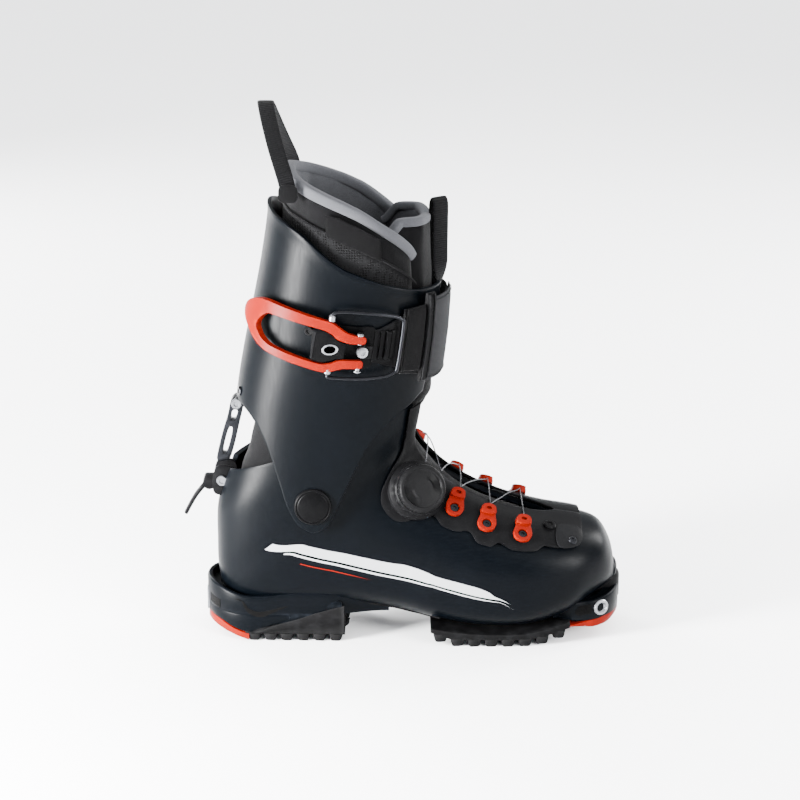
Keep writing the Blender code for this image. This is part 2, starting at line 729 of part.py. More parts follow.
def make_buckle():
    bore = cylinder_mesh("buckle_bore", BUCKLE_HINGE, BUCKLE_AXIS, 1.75, 60.0, 12)
    bore_tool = tool("buckle_bore", bore)
    base_outline = [(75.0, 211.6), (75.0, 222.4), (85.5, 222.4), (85.5, 211.6)]
    base_mesh = wrapped_plate("buckle_base", [base_outline], 0.5, 8.6)
    base = add_object("buckle_base", base_mesh, BLACK_PLASTIC, pivot=ANKLE)
    cut(base, bore_tool)
    outer = [
        (79, 224.5), (79, 232), (95, 238), (115, 242.5), (134, 246.5), (150, 245), (160, 237), (143, 220),
        (129, 211), (112, 206), (95, 200.5), (79, 203), (79, 209.6), (90, 211), (90, 223),
    ]
    window = [(106, 212.5), (128, 216.5), (141, 226), (136, 238), (106, 231)]
    folds = (84, 100, 112, 120, 126, 132, 138, 145, 152)
    mesh = wrapped_plate("buckle_lever", [outer, window], 4.4, 8.6, folds)
    lever = add_object("buckle_lever", mesh, ORANGE_PLASTIC, pivot=BUCKLE_HINGE)
    cut(lever, bore_tool)
    for z in (241.0, 199.0):
        centre = axis_point(BAIL_HINGE, z)
        bail_bore = cylinder_mesh("bail_bore", centre, BUCKLE_AXIS, BAIL_WIRE_R + 0.3, 14.0, 10)
        cut(lever, tool("bail_bore", bail_bore))
    pin = cylinder_mesh("buckle_pin", axis_point(BUCKLE_HINGE, 217.3), BUCKLE_AXIS, 1.55, 31.0, 12)
    add_object("buckle_pin", pin, METAL, pivot=ANKLE)
    bolt_at = cuff_point(80.0, 217.0, 8.9)
    bolt_axis = cuff_point(80.0, 217.0, 9.9) - bolt_at
    bolt_head = [(4.2, 0.0), (4.2, 1.4), (3.4, 2.2), (1.9, 2.2), (1.7, 1.0)]
    bolt = lathe_mesh("buckle_bolt", bolt_at, bolt_axis, bolt_head, 6)
    add_object("buckle_bolt", bolt, METAL, pivot=ANKLE)
    lift = 6.6
    route = [
        axis_point(BAIL_HINGE, 236.0), axis_point(BAIL_HINGE, 240.4),
        tuple(cuff_point(91.0, 242.0, lift)), tuple(cuff_point(78.0, 240.5, lift)),
        tuple(cuff_point(66.0, 238.0, lift)), tuple(cuff_point(60.5, 235.5, lift + 0.4)),
        tuple(cuff_point(59.0, 231.0, lift + 0.8)), tuple(cuff_point(59.3, 203.0, lift + 0.8)),
        tuple(cuff_point(61.0, 198.5, lift + 0.4)), tuple(cuff_point(67.0, 196.0, lift)),
        tuple(cuff_point(79.0, 195.5, lift)), tuple(cuff_point(92.0, 196.5, lift)),
        axis_point(BAIL_HINGE, 198.2), axis_point(BAIL_HINGE, 203.0),
    ]
    rod("buckle_bail", route, BAIL_WIRE_R, METAL, pivot=BAIL_HINGE)


# Lean lock --------------------------------------------------------------------------------------

def make_lean_lock():
    ear = [
        (31.6, 179), (30.5, 179), (28.6, 168.8), (22.5, 168.4), (18.8, 164), (19.6, 159.8), (23.5, 158.6),
        (31.6, 164),
    ]
    pin_hole = ring((BAR_PIVOT[0], BAR_PIVOT[2]), 2.35, 12)
    hanger_mesh = plate_mesh("bar_hanger", [ear, pin_hole], 1.6, plane_xz(-5.6))
    hanger = add_object("bar_hanger", hanger_mesh, METAL, pivot=ANKLE)
    join(hanger, tool("hanger_ear", plate_mesh("hanger_ear", [ear, pin_hole], 1.6, plane_xz(5.6))))
    join(hanger, tool("hanger_web", box_mesh("hanger_web", (30.6, -6.2, 165.5), (31.5, 6.2, 178.8))))
    pin = [(3.6, -8.4), (3.6, -6.8), (2.1, -6.8), (2.1, 6.8), (3.6, 6.8), (3.6, 8.4)]
    add_object("bar_screw", lathe_mesh("bar_screw", BAR_PIVOT, (0, 1, 0), pin, 12), METAL, pivot=ANKLE)
    outline = [
        (20.0, 167.4), (24.6, 167.6), (27.0, 164.6), (26.4, 158.0), (23.8, 148.0), (20.6, 134.0),
        (17.2, 123.0), (14.0, 121.4), (8.4, 121.4), (7.6, 124.0), (11.8, 141.0), (16.0, 154.0), (18.2, 164.6),
    ]
    slots = (
        [(19.4, 158.6), (23.4, 158.2), (21.2, 150.6), (17.8, 150.6)],
        [(16.6, 146.4), (19.8, 145.8), (15.0, 126.6), (11.4, 126.6)],
    )
    pin_bore = ring((BAR_PIVOT[0], BAR_PIVOT[2]), 2.35, 12)
    bar = plate_mesh("lean_bar", [outline, pin_bore, *slots], BAR_THICK, plane_xz(0.0))
    add_object("lean_bar", bar, METAL, pivot=BAR_PIVOT)
    hole = ring((BRACKET_PIVOT[0], BRACKET_PIVOT[2]), 2.4, 12)
    cheek = [(5.0, 98.2), (21.0, 98.2), (21.0, 115.0), (17.0, 119.5), (7.5, 119.5), (5.0, 112.0)]
    bracket_mesh = plate_mesh("lock_bracket", [cheek, hole], 2.2, plane_xz(-8.1))
    bracket = add_object("lock_bracket", bracket_mesh, BLACK_PLASTIC)
    join(bracket, tool("bracket_cheek", plate_mesh("bracket_cheek", [cheek, hole], 2.2, plane_xz(8.1))))
    join(bracket, tool("bracket_floor", box_mesh("bracket_floor", (6.0, -8.4, 98.4), (20.8, 8.4, 100.6))))
    screw = [(4.2, -11.2), (4.2, -9.5), (2.1, -9.5), (2.1, 9.5), (4.2, 9.5), (4.2, 11.2)]
    add_object("bracket_screw", lathe_mesh("bracket_screw", BRACKET_PIVOT, (0, 1, 0), screw, 12), METAL)
    lever = [
        (13.9, 107.0), (14.6, 109.6), (13.0, 112.0), (10.4, 112.4), (8.2, 110.6), (5.0, 109.6), (-0.8, 109.4),
        (-2.0, 106.0), (-0.6, 102.6), (3.6, 101.6), (9.6, 105.9),
    ]
    bore = ring((BRACKET_PIVOT[0], BRACKET_PIVOT[2]), 2.35, 12)
    lever_mesh = plate_mesh("lock_lever", [lever, bore], 12.6, plane_xz(0.0))
    add_object("lock_lever", lever_mesh, BLACK_PLASTIC, pivot=BRACKET_PIVOT)
    tab = [(-2.5, 0, 101.9), (-4.5, 0, 99.4), (-7.4, 0, 95.4), (-11.0, 0, 89.5), (-14.8, 0, 82.5)]
    ribbon("pull_tab", tab, 9.0, 3.0, WEBBING, pivot=BRACKET_PIVOT)


# Dial, guides and lace --------------------------------------------------------------------------

def make_dial():
    u, angle = DIAL_PLACE
    centre = foot_skin(u, angle, 0.0)
    axis = foot_skin(u, angle, 1.0) - centre
    def turned(name, profile, material, sides=20, hollow=False, pivot=tuple(centre)):
        return add_object(name, lathe_mesh(name, centre, axis, profile, sides, hollow), material, pivot=pivot)
    base = [
        (2.9, 5.9), (16.0, 5.9), (18.6, 7.2), (18.6, 9.0), (17.0, 10.2), (10.2, 10.2), (10.2, 7.3),
        (2.9, 7.3),
    ]
    turned("dial_base", base, BLACK_PLASTIC, 24, hollow=True)
    spool = [
        (2.9, 7.7), (9.6, 7.7), (9.6, 8.3), (7.0, 8.8), (7.0, 9.4), (9.6, 9.9), (9.6, 10.5), (2.9, 10.5),
    ]
    turned("dial_spool", spool, METAL, 16, hollow=True)
    turned("dial_spindle", [(2.5, 5.9), (2.5, 16.6)], METAL, 12)
    knob = [
        (2.8, 17.2), (2.8, 11.2), (15.4, 11.2), (16.5, 12.2), (16.5, 16.0), (14.6, 17.8), (12.0, 18.2),
        (11.0, 17.6), (4.0, 17.6), (3.0, 18.8),
    ]
    turned("dial_knob", knob, BLACK_PLASTIC, 24)



def guide_outline():
    """Tapered tag with round ends."""
    top = [(5.2 * math.cos(a), 6.4 + 3.4 * math.sin(a)) for a in span(0, math.pi, 6)]
    low = [(6.0 * math.cos(a), -4.4 + 5.4 * math.sin(a)) for a in span(math.pi, 2 * math.pi, 7)]
    return [*top, *low]


def make_guides():
    for label, sign in (("lateral", 1), ("medial", -1)):
        for k, u in enumerate(GUIDE_ROWS if sign < 0 else GUIDE_ROWS[:3]):
            angle = GUIDE_ANGLE if sign > 0 else 360.0 - GUIDE_ANGLE
            place = foot_placement(u, angle, 5.4)
            mesh = plate_mesh("guide", [guide_outline(), ring((0.0, -4.4), 3.3, 10)], 3.2, place)
            add_object(f"lace_guide_{label}_{k + 1}", mesh, ORANGE_PLASTIC)
            centre = (place @ Vector((0.0, -4.4 * MM, -0.0014))) / MM
            axis = place.to_3x3() @ Vector((0.0, 0.0, 1.0))
            rivet = lathe_mesh("rivet", centre, axis, [(2.9, 0.0), (2.9, 2.4), (1.9, 3.1)], 10)
            add_object(f"guide_rivet_{label}_{k + 1}", rivet, METAL)


def lace_crossing(first, last, count):
    """Points over the instep from one eyelet to the next; places are (row, angle, lift)."""
    points = []
    for t in span(0.0, 1.0, count):
        u, angle, lift = (lerp(a, b, t) for a, b in zip(first, last))
        points.append(tuple(foot_skin(u, angle, lift - 4.0 * math.sin(math.pi * t) ** 0.5)))
    return points


def make_lace():
    reach, lift = 24.0, 7.9
    one, two, three, four = GUIDE_ROWS
    stops = [
        (DIAL_PLACE[0] + 0.35, 24.0, lift), (four, -reach, lift), (one + 0.9, reach, lift),
        (one, -reach, lift), (one, reach, lift), (two, -reach, lift), (two, reach, lift),
        (three, -reach, lift), (three, reach, lift),
    ]
    route = []
    for first, last in zip(stops, stops[1:]):
        route += lace_crossing(first, last, 6)[:-1]
    rod("lace", [*route, tuple(foot_skin(*stops[-1]))], 0.6, METAL, resolution=0)


def make_loops():
    rear_side = [(63.0, -40.6, 312.0), (59.5, -38.4, 326.0), (53.5, -28.0, 343.0), (48.6, -15.5, 358.5),
                 (46.0, -5.5, 367.6)]
    top = [(45.4, 0.0, 369.6)]
    rear = [*rear_side, *top, *[(x, -y, z) for x, y, z in reversed(rear_side)]]
    ribbon("rear_pull_loop", smooth_route(rear, 15), 10.5, 1.5, WEBBING, across=(1.0, 0.0, 0.0), pivot=ANKLE)
    front = [
        (158.0, 0, 256), (158.6, 0, 275), (158.2, 0, 292), (158.2, 0, 301), (160.6, 0, 305.4),
        (163.2, 0, 301.5), (163.4, 0, 290), (163.0, 0, 273), (162.2, 0, 256),
    ]
    ribbon("front_pull_loop", smooth_route(front, 15), 12.0, 1.4, WEBBING, pivot=ANKLE)


clear_scene()
BOOT = make_collection("ski_boot")
TOOLS = make_collection("cutters")
FRAME = bpy.data.objects.new("boot_frame", None)
BOOT.objects.link(FRAME)
FRAME.location = Vector(FRAME_SHIFT) * MM

PLASTIC = make_material("shell_plastic", NAVY, 0.35)
BLACK_PLASTIC = make_material("black_plastic", BLACK, 0.45)
GREY_PLASTIC = make_material("grey_plastic", FELT, 0.6)
ORANGE_PLASTIC = make_material("orange_plastic", ORANGE, 0.4)
RUBBER = make_material("rubber", BLACK, 0.75)
METAL = make_material("steel", STEEL, 0.3, 1.0)
FABRIC = make_material("liner_fabric", FELT, 0.9)
GAITER = make_material("gaiter_fabric", BLACK, 0.8)
WEBBING = make_material("webbing", BLACK, 0.85)

make_lower_shell()
make_sole()
make_inserts()
make_boot_board()
make_liner_foot()
make_liner_cuff()
make_liner_tongue()
make_gaiter()
make_lace_frame()
make_cuff()
make_pivots()
make_strap()
make_buckle()
make_lean_lock()
make_dial()
make_guides()
make_lace()
make_loops()
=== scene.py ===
"""Looks of the ski touring boot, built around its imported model.

Shapes are worked out in the part's design frame, in millimetres: origin under the heel end, +X to
the toe, +Y to the inner side, +Z up. world() turns such a place into the row frame, in metres.
"""
from math import atan2, copysign, cos, degrees, pi, radians, sin, sqrt, tau

import bmesh
import bpy
from mathutils import Matrix, Vector, noise

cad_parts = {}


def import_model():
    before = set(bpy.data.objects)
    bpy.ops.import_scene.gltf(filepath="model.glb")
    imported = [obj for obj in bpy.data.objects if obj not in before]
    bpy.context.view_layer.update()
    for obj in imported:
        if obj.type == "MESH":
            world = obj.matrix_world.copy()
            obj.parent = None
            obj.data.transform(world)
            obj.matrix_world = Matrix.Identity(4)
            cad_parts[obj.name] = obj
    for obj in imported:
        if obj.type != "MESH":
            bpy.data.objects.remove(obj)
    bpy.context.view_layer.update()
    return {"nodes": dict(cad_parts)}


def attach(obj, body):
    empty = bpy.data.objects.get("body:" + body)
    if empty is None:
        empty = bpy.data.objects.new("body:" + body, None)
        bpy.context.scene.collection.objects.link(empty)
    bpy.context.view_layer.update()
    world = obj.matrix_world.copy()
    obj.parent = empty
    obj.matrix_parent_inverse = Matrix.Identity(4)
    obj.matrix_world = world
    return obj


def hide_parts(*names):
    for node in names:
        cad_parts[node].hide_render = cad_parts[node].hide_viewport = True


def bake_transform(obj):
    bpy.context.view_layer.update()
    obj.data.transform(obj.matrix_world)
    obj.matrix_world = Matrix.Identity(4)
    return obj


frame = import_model()

MM = 0.001
SHIFT = Vector((-135.341, 1.763, 0.0))
ANKLE = (75.5, 0.0, 103.5)
LEG_X = 98.0
INSIDE_CUFF = (LEG_X, 0.0, 240.0)
SHELL_WALL = 3.6
CUFF_WALL = 3.0
BOARD_TOP = 30.5
FOOT_LAST = 15
OPENING_START = 3.7

# Loft stations of the foot part, toe to collar: bottom x, z, top x, z, half width, height of the
# widest point, squareness below and above it, and the centre's offset to the inner side.
FOOT_STATIONS = (
    (281.0, 33.5, 283.6, 47.0, 14.0, 0.50, 2.0, 2.0, 3.0),
    (273.5, 29.5, 280.5, 61.5, 26.0, 0.48, 2.2, 2.2, 3.0),
    (263.0, 24.0, 272.5, 74.0, 36.0, 0.46, 2.5, 2.4, 2.5),
    (247.0, 16.5, 256.5, 79.5, 45.0, 0.45, 2.9, 2.5, 1.0),
    (221.0, 11.0, 232.0, 84.5, 50.0, 0.42, 3.3, 2.45, -1.0),
    (189.0, 10.5, 204.0, 93.5, 50.5, 0.39, 3.3, 2.3, -1.5),
    (158.0, 14.0, 182.0, 105.0, 47.5, 0.38, 3.1, 2.1, -1.0),
    (128.0, 19.5, 165.0, 118.0, 44.0, 0.39, 2.9, 2.0, 0.0),
    (98.0, 21.5, 153.5, 132.0, 42.0, 0.40, 2.8, 2.0, 0.0),
    (66.0, 18.5, 148.0, 142.0, 41.0, 0.44, 2.7, 2.0, 0.0),
    (36.0, 16.0, 147.0, 149.0, 40.5, 0.48, 2.6, 2.1, 0.0),
    (14.5, 22.0, 148.0, 154.5, 40.5, 0.50, 2.5, 2.1, 0.0),
    (7.8, 43.0, 149.5, 159.0, 41.0, 0.50, 2.4, 2.1, 0.0),
    (7.0, 66.0, 150.5, 163.0, 42.0, 0.50, 2.4, 2.1, 0.0),
    (8.0, 92.0, 151.5, 167.0, 42.4, 0.50, 2.4, 2.1, 0.0),
    (15.0, 119.0, 152.0, 171.0, 42.0, 0.50, 2.3, 2.1, 0.0),
)

# Cuff sections by height: z, centre x, half length, half width, squareness.
CUFF_SECTIONS = (
    (80.0, 80.0, 60.0, 46.6, 2.5),
    (105.0, 80.0, 61.0, 47.4, 2.5),
    (140.0, 84.0, 63.5, 47.6, 2.4),
    (170.0, 88.0, 65.5, 48.4, 2.3),
    (200.0, 92.6, 65.4, 50.5, 2.2),
    (235.0, 98.0, 63.4, 53.5, 2.2),
    (270.0, 101.0, 59.5, 55.5, 2.2),
    (305.0, 104.0, 57.6, 57.0, 2.2),
)

# Heights round the cuff and its liner, as (angle from the front, height).
CUFF_BASES = (
    (0, 177), (24.5, 177), (39, 170.3), (51, 163.3), (61, 154.8), (68.6, 144), (72, 134.6), (75.7, 123.5),
    (79.8, 110), (84, 97.4), (88, 87.5), (92.4, 84), (96, 86), (100, 89.5), (105.5, 100.5), (110.8, 114.5),
    (117.5, 129.5), (125.4, 144.7), (137, 158.5), (148.6, 165.4), (160, 168.4), (180, 169.7),
)
CUFF_TOPS = ((0, 250), (40, 251), (64, 256), (87, 265.5), (99, 273.5), (124, 291), (150, 299.5),
             (180, 304.5))
LINER_TOPS = ((0, 268), (30, 268), (45, 280), (72, 296), (100, 311), (140, 322), (180, 327))
LINER_BASES = ((0, 186), (45, 184), (90, 168), (140, 154), (180, 150))

# Edge of the black overlay round the instep, as (station, angle from the top).
OVERLAY_EDGE = (
    (2.9, 42.0), (3.18, 47.6), (3.55, 50.7), (3.95, 49.0), (4.15, 55.0), (4.62, 56.8), (5.0, 53.0),
    (5.2, 58.0),
    (5.5, 58.0), (5.8, 52.0), (6.2, 56.0), (6.6, 57.0), (6.85, 54.4), (7.14, 54.0), (7.44, 58.4),
    (7.7, 65.6),
    (8.11, 68.6), (8.82, 66.3), (9.42, 61.0), (9.75, 52.0), (9.95, 43.0), (10.4, 37.5), (12.0, 35.5),
    (15.0, 36.0),
)

# Round ends of the sole in plan: centre, length of the round part and half width.
HEEL_X, HEEL_REACH, HEEL_HALF = 34.0, 34.6, 34.0
TOE_X, TOE_REACH, TOE_HALF = 262.0, 24.8, 33.5

GUIDE_ROWS = (6.42, 5.4, 4.5, 8.5)
GUIDE_ANGLE = 38.0
DIAL_PLACE = (7.85, 47.0)
BAR_PIVOT = (22.5, 0.0, 163.5)
BRACKET_PIVOT = (11.5, 0.0, 109.0)
BUCKLE_AXIS = (0.098, -0.088, 0.991)
BUCKLE_HINGE = (107.6, -57.9, 219.0)
BAIL_HINGE = (88.3, -58.5, 219.8)

CAMERA_TARGET = (134.0, 0.0, 164.0)
CAMERA_TILT = radians(17.0)
CAMERA_DISTANCE = 1.5
CAMERA_LENS = 98.55


# Places on the boot ---------------------------------------------------------------------------

def world(place):
    """Place in metres in the row frame, from millimetres in the design frame."""
    return (Vector(place) + SHIFT) * MM


def lerp(a, b, t):
    return a + (b - a) * t


def span(first, last, count):
    return [lerp(first, last, k / (count - 1)) for k in range(count)]


def full_turn(count):
    """Evenly spaced angles of one turn."""
    return span(0.0, tau, count + 1)[:-1]


def squared(value, power):
    """A cosine or sine raised to a power with its sign kept, for rounded squares."""
    return copysign(abs(value) ** power, value)


def ease(value, low, high):
    """Smooth step from 0 at low to 1 at high."""
    t = min(max((value - low) / (high - low), 0.0), 1.0)
    return t * t * (3.0 - 2.0 * t)


def bump(value, start, full, end, over):
    """0 outside a range, 1 within it, with soft ends."""
    return ease(value, start, full) * (1.0 - ease(value, end, over))


def spline(table, place):
    """Catmull-Rom value of a table's rows at a row number that may be fractional."""
    last = len(table) - 1
    place = min(max(place, 0.0), float(last))
    low = min(int(place), last - 1)
    t = place - low
    rows = [table[min(max(low + k, 0), last)] for k in (-1, 0, 1, 2)]
    return [
        0.5 * (2 * b + (c - a) * t + (2 * a - 5 * b + 4 * c - d) * t * t + (3 * b - a - 3 * c + d) * t ** 3)
        for a, b, c, d in zip(*rows)
    ]


def profile(table, at):
    """Smooth value of a table of (place, value) that never overshoots its rows."""
    at = min(max(at, table[0][0]), table[-1][0])
    k = 0
    while k < len(table) - 2 and at > table[k + 1][0]:
        k += 1

    def slope(j):
        if j <= 0 or j >= len(table) - 1:
            return 0.0
        (x0, y0), (x1, y1), (x2, y2) = table[j - 1:j + 2]
        left, right = (y1 - y0) / (x1 - x0), (y2 - y1) / (x2 - x1)
        return 0.0 if left * right <= 0 else 2 * left * right / (left + right)

    (x0, y0), (x1, y1) = table[k], table[k + 1]
    width = x1 - x0
    t = (at - x0) / width
    return (
        (2 * t ** 3 - 3 * t ** 2 + 1) * y0 + (t ** 3 - 2 * t ** 2 + t) * width * slope(k)
        + (3 * t ** 2 - 2 * t ** 3) * y1 + (t ** 3 - t ** 2) * width * slope(k + 1)
    )


def round_profile(table, angle):
    """The same table on both sides of the boot."""
    angle = angle % 360.0
    return profile(table, 360.0 - angle if angle > 180.0 else angle)


def foot_point(u, angle):
    """Point of the foot's outer surface. Angle is 0 at the top, 90 at the outer side, 180 below."""
    bx, bz, tx, tz, width, widest, low_power, high_power, offset = spline(FOOT_STATIONS, u)
    a = radians(angle)
    cosine, sine = cos(a), sin(a)
    power = high_power if cosine > 0 else low_power
    across = abs(sine) ** (2 / power)
    rise = abs(cosine) ** (2 / power)
    height = widest + (1 - widest) * rise if cosine > 0 else widest * (1 - rise)
    side = -1 if sine > 0 else 1
    return Vector((lerp(bx, tx, height), offset + side * width * across, lerp(bz, tz, height)))


def foot_skin(u, angle, lift):
    """Point at a distance outside the foot's surface (negative is inside)."""
    step_u = 0.05 if u < FOOT_LAST - 0.1 else -0.05
    here = foot_point(u, angle)
    along = (foot_point(u + step_u, angle) - here) * (1 if step_u > 0 else -1)
    around = foot_point(u, angle + 2.0) - foot_point(u, angle - 2.0)
    return here + along.cross(around).normalized() * lift


def cuff_point(angle, z, lift=0.0):
    """Point of the cuff's outer surface. Angle is 0 in front, 90 at the outer side, 180 behind."""
    place = 0.0
    for k in range(len(CUFF_SECTIONS) - 1):
        low, high = CUFF_SECTIONS[k][0], CUFF_SECTIONS[k + 1][0]
        if z >= low:
            place = k + (z - low) / (high - low)
    _, centre, length, width, power = spline(CUFF_SECTIONS, place)
    a = radians(angle)
    cosine, sine = cos(a), sin(a)
    x = centre + squared(cosine, 2 / power) * (length + lift)
    return Vector((x, -squared(sine, 2 / power) * (width + lift), z))


def shell_edge(u):
    """Angle from the top to the instep opening's edge on either side."""
    if u < OPENING_START:
        return 0.0
    share = min((u - OPENING_START) / 4.5, 1.0)
    return 30.0 * sin(pi / 2 * share) ** 0.7


def liner_lift(angle):
    """The liner stands further off the cuff behind, where the lean bar's hanger sits."""
    behind = max(-cos(radians(angle)), 0.0)
    return -CUFF_WALL - 2.0 - 5.0 * behind ** 4


# Materials ------------------------------------------------------------------------------------

def node(tree, kind, inputs=None, **settings):
    """Shader node with its settings, and its inputs given as values or as sockets to link."""
    item = tree.nodes.new(kind)
    for key, value in settings.items():
        setattr(item, key, value)
    for key, value in (inputs or {}).items():
        if isinstance(value, bpy.types.NodeSocket):
            tree.links.new(value, item.inputs[key])
        else:
            item.inputs[key].default_value = value
    return item


def places(tree, source="object", stretch=(1.0, 1.0, 1.0)):
    """Texture places in millimetres: the object's own, or lengths along and across its cloth."""
    if source == "weave":
        start, scale = node(tree, "ShaderNodeAttribute", attribute_name="weave").outputs["Vector"], 1.0
    else:
        start, scale = node(tree, "ShaderNodeTexCoord").outputs["Object"], 1.0 / MM
    sizes = tuple(scale * s for s in stretch)
    return node(tree, "ShaderNodeMapping", {"Vector": start, "Scale": sizes}).outputs["Vector"]


def noise_value(tree, vector, size, detail=3.0, roughness=0.55):
    """Noise whose features are about size millimetres wide."""
    inputs = {"Vector": vector, "Scale": 1.0 / size, "Detail": detail, "Roughness": roughness}
    return node(tree, "ShaderNodeTexNoise", inputs).outputs["Fac"]


def ribs(tree, vector, pitch, direction, distortion):
    """Bands with a pitch in millimetres."""
    inputs = {"Vector": vector, "Scale": tau / 20.0 / pitch, "Distortion": distortion,
              "Detail Scale": 2.0}
    return node(tree, "ShaderNodeTexWave", inputs, bands_direction=direction).outputs["Fac"]


def fit(tree, value, low, high, new_low, new_high):
    """Value moved from one range to another, held at the ends."""
    inputs = {"Value": value, "From Min": low, "From Max": high, "To Min": new_low, "To Max": new_high}
    return node(tree, "ShaderNodeMapRange", inputs).outputs["Result"]


def maths(tree, operation, a, b):
    """Result of a sum on two values or sockets."""
    item = node(tree, "ShaderNodeMath", operation=operation)
    for socket, value in zip(item.inputs, (a, b)):
        if isinstance(value, bpy.types.NodeSocket):
            tree.links.new(value, socket)
        else:
            socket.default_value = value
    return item.outputs["Value"]


def tint(tree, factor, first, second):
    """Colour between two colours; each may be a socket."""
    item = node(tree, "ShaderNodeMix", data_type="RGBA", clamp_factor=True)
    tree.links.new(factor, item.inputs[0])
    for socket, value in ((item.inputs[6], first), (item.inputs[7], second)):
        if isinstance(value, bpy.types.NodeSocket):
            tree.links.new(value, socket)
        else:
            socket.default_value = (*value, 1.0)
    return item.outputs[2]


def edge_wear(tree):
    """Value that rises on the piece's convex edges."""
    return fit(tree, node(tree, "ShaderNodeNewGeometry").outputs["Pointiness"], 0.53, 0.62, 0.0, 1.0)


def material(name, metallic=0.0, reflect=0.02, **constants):
    """New material, its tree and its shader, with constants set on the shader's own sockets."""
    item = bpy.data.materials.new(name)
    item.use_nodes = True
    shader = item.node_tree.nodes["Principled BSDF"]
    shader.inputs["Metallic"].default_value = metallic
    shader.inputs["Specular IOR Level"].default_value = 0.5 if metallic else reflect
    for socket, value in constants.items():
        shader.inputs[socket.replace("_", " ")].default_value = value
    return item, item.node_tree, shader


def connect(tree, shader, colour, roughness, height, strength, depth):
    """Link colour and roughness, and a bump whose full height is depth millimetres."""
    tree.links.new(colour, shader.inputs["Base Color"])
    tree.links.new(roughness, shader.inputs["Roughness"])
    inputs = {"Height": height, "Strength": strength, "Distance": depth * MM}
    bump = node(tree, "ShaderNodeBump", inputs)
    tree.links.new(bump.outputs["Normal"], shader.inputs["Normal"])


def moulded_plastic(name, dark, light, wear, smooth, rough, streak, grain=0.5, reflect=0.028):
    """Hard plastic with faint brushing along one direction, lighter streaks along it painted as highlights,
    fine grain and rubbed edges.
    """
    item, tree, shader = material(name, reflect=reflect)
    brushing_and_highlight = noise_value(tree, places(tree, stretch=streak), 0.9, 4.0, 0.7)
    clouds = noise_value(tree, places(tree), 26.0, 2.0)
    fine = noise_value(tree, places(tree), grain, 2.0)
    worn = maths(tree, "MULTIPLY", edge_wear(tree),
                 fit(tree, noise_value(tree, places(tree), 5.0), 0.4, 0.7, 0.0, 0.6))
    # Painted highlight: the base colour is lighter along the streaks of the brushing, and also varies at
    # random with the clouds.
    base = tint(tree, maths(tree, "MULTIPLY", brushing_and_highlight, clouds), dark, light)
    colour = tint(tree, worn, base, wear)
    roughness = fit(tree, brushing_and_highlight, 0.3, 0.7, smooth, rough)
    height = maths(tree, "ADD", maths(tree, "MULTIPLY", brushing_and_highlight, 0.6), maths(tree, "MULTIPLY", fine, 0.4))
    connect(tree, shader, colour, roughness, height, 0.25, 0.05)
    return item


def grained_plastic(name, dark, light, smooth, rough, strength=0.35):
    """Textured plastic with a fine pebble grain."""
    item, tree, shader = material(name)
    cells = node(tree, "ShaderNodeTexVoronoi",
                 {"Vector": places(tree), "Scale": 1.0 / 0.5}).outputs["Distance"]
    clouds = noise_value(tree, places(tree), 9.0, 3.0)
    worn = fit(tree, edge_wear(tree), 0.0, 1.0, 0.0, 0.35)
    colour = tint(tree, worn, tint(tree, clouds, dark, light),
                  tuple(min(c * 2.2 + 0.002, 1.0) for c in light))
    connect(tree, shader, colour, fit(tree, clouds, 0.3, 0.7, smooth, rough), cells, strength, 0.06)
    return item


def brushed_metal(name, colour, smooth, rough):
    """Metal with fine brushing and faint stains."""
    item, tree, shader = material(name, metallic=1.0)
    lines = noise_value(tree, places(tree, stretch=(1.0, 1.0, 8.0)), 0.35, 3.0, 0.7)
    stains = noise_value(tree, places(tree), 4.0, 3.0)
    base = tint(tree, stains, tuple(c * 0.8 for c in colour), colour)
    connect(tree, shader, base, fit(tree, lines, 0.3, 0.7, smooth, rough), lines, 0.15, 0.03)
    return item


def rubber(name):
    item, tree, shader = material(name)
    fine = noise_value(tree, places(tree), 0.4, 3.0, 0.7)
    dust = noise_value(tree, places(tree), 7.0, 4.0)
    worn = fit(tree, edge_wear(tree), 0.0, 1.0, 0.0, 0.5)
    base = tint(tree, fit(tree, dust, 0.45, 0.75, 0.0, 1.0), (0.0010, 0.0010, 0.0011),
                (0.0034, 0.0034, 0.0037))
    connect(tree, shader, tint(tree, worn, base, (0.009, 0.009, 0.009)),
            fit(tree, dust, 0.3, 0.7, 0.62, 0.85), fine, 0.4, 0.08)
    return item


def felt(name, dark, light, size=0.55):
    """Heathered knit or felt: short fibres, lint and soft sheen."""
    item, tree, shader = material(name, Sheen_Weight=0.03, Sheen_Roughness=0.5)
    fibres = noise_value(tree, places(tree, stretch=(1.0, 1.0, 2.6)), size, 4.0, 0.75)
    crossing = noise_value(tree, places(tree, stretch=(2.6, 1.6, 1.0)), size, 4.0, 0.75)
    clouds = noise_value(tree, places(tree), 14.0, 2.0)
    both = maths(tree, "MULTIPLY", maths(tree, "ADD", fibres, crossing), 0.5)
    colour = tint(tree, fit(tree, both, 0.38, 0.62, 0.0, 1.0), dark, light)
    connect(tree, shader, colour, fit(tree, clouds, 0.3, 0.7, 0.82, 0.95), both, 0.7, 0.35)
    return item


def spacer_mesh(name, dark, light, pitch):
    """Open knitted mesh with rows of small holes, painted dark inside as shade."""
    item, tree, shader = material(name, Sheen_Weight=0.03, Sheen_Roughness=0.5)
    vector = places(tree)
    cells = node(tree, "ShaderNodeTexVoronoi", {"Vector": vector, "Scale": 1.0 / pitch, "Randomness": 0.25})
    holes = fit(tree, cells.outputs["Distance"], 0.22, 0.5, 0.0, 1.0)
    yarn = noise_value(tree, vector, 0.35, 2.0)
    # Painted shade: the colour is dark in the holes and lighter on the yarn round them.
    colour = tint(tree, maths(tree, "MULTIPLY", holes, fit(tree, yarn, 0.3, 0.7, 0.6, 1.0)), dark, light)
    connect(tree, shader, colour, fit(tree, yarn, 0.3, 0.7, 0.75, 0.95), holes, 0.8, 0.5)
    return item


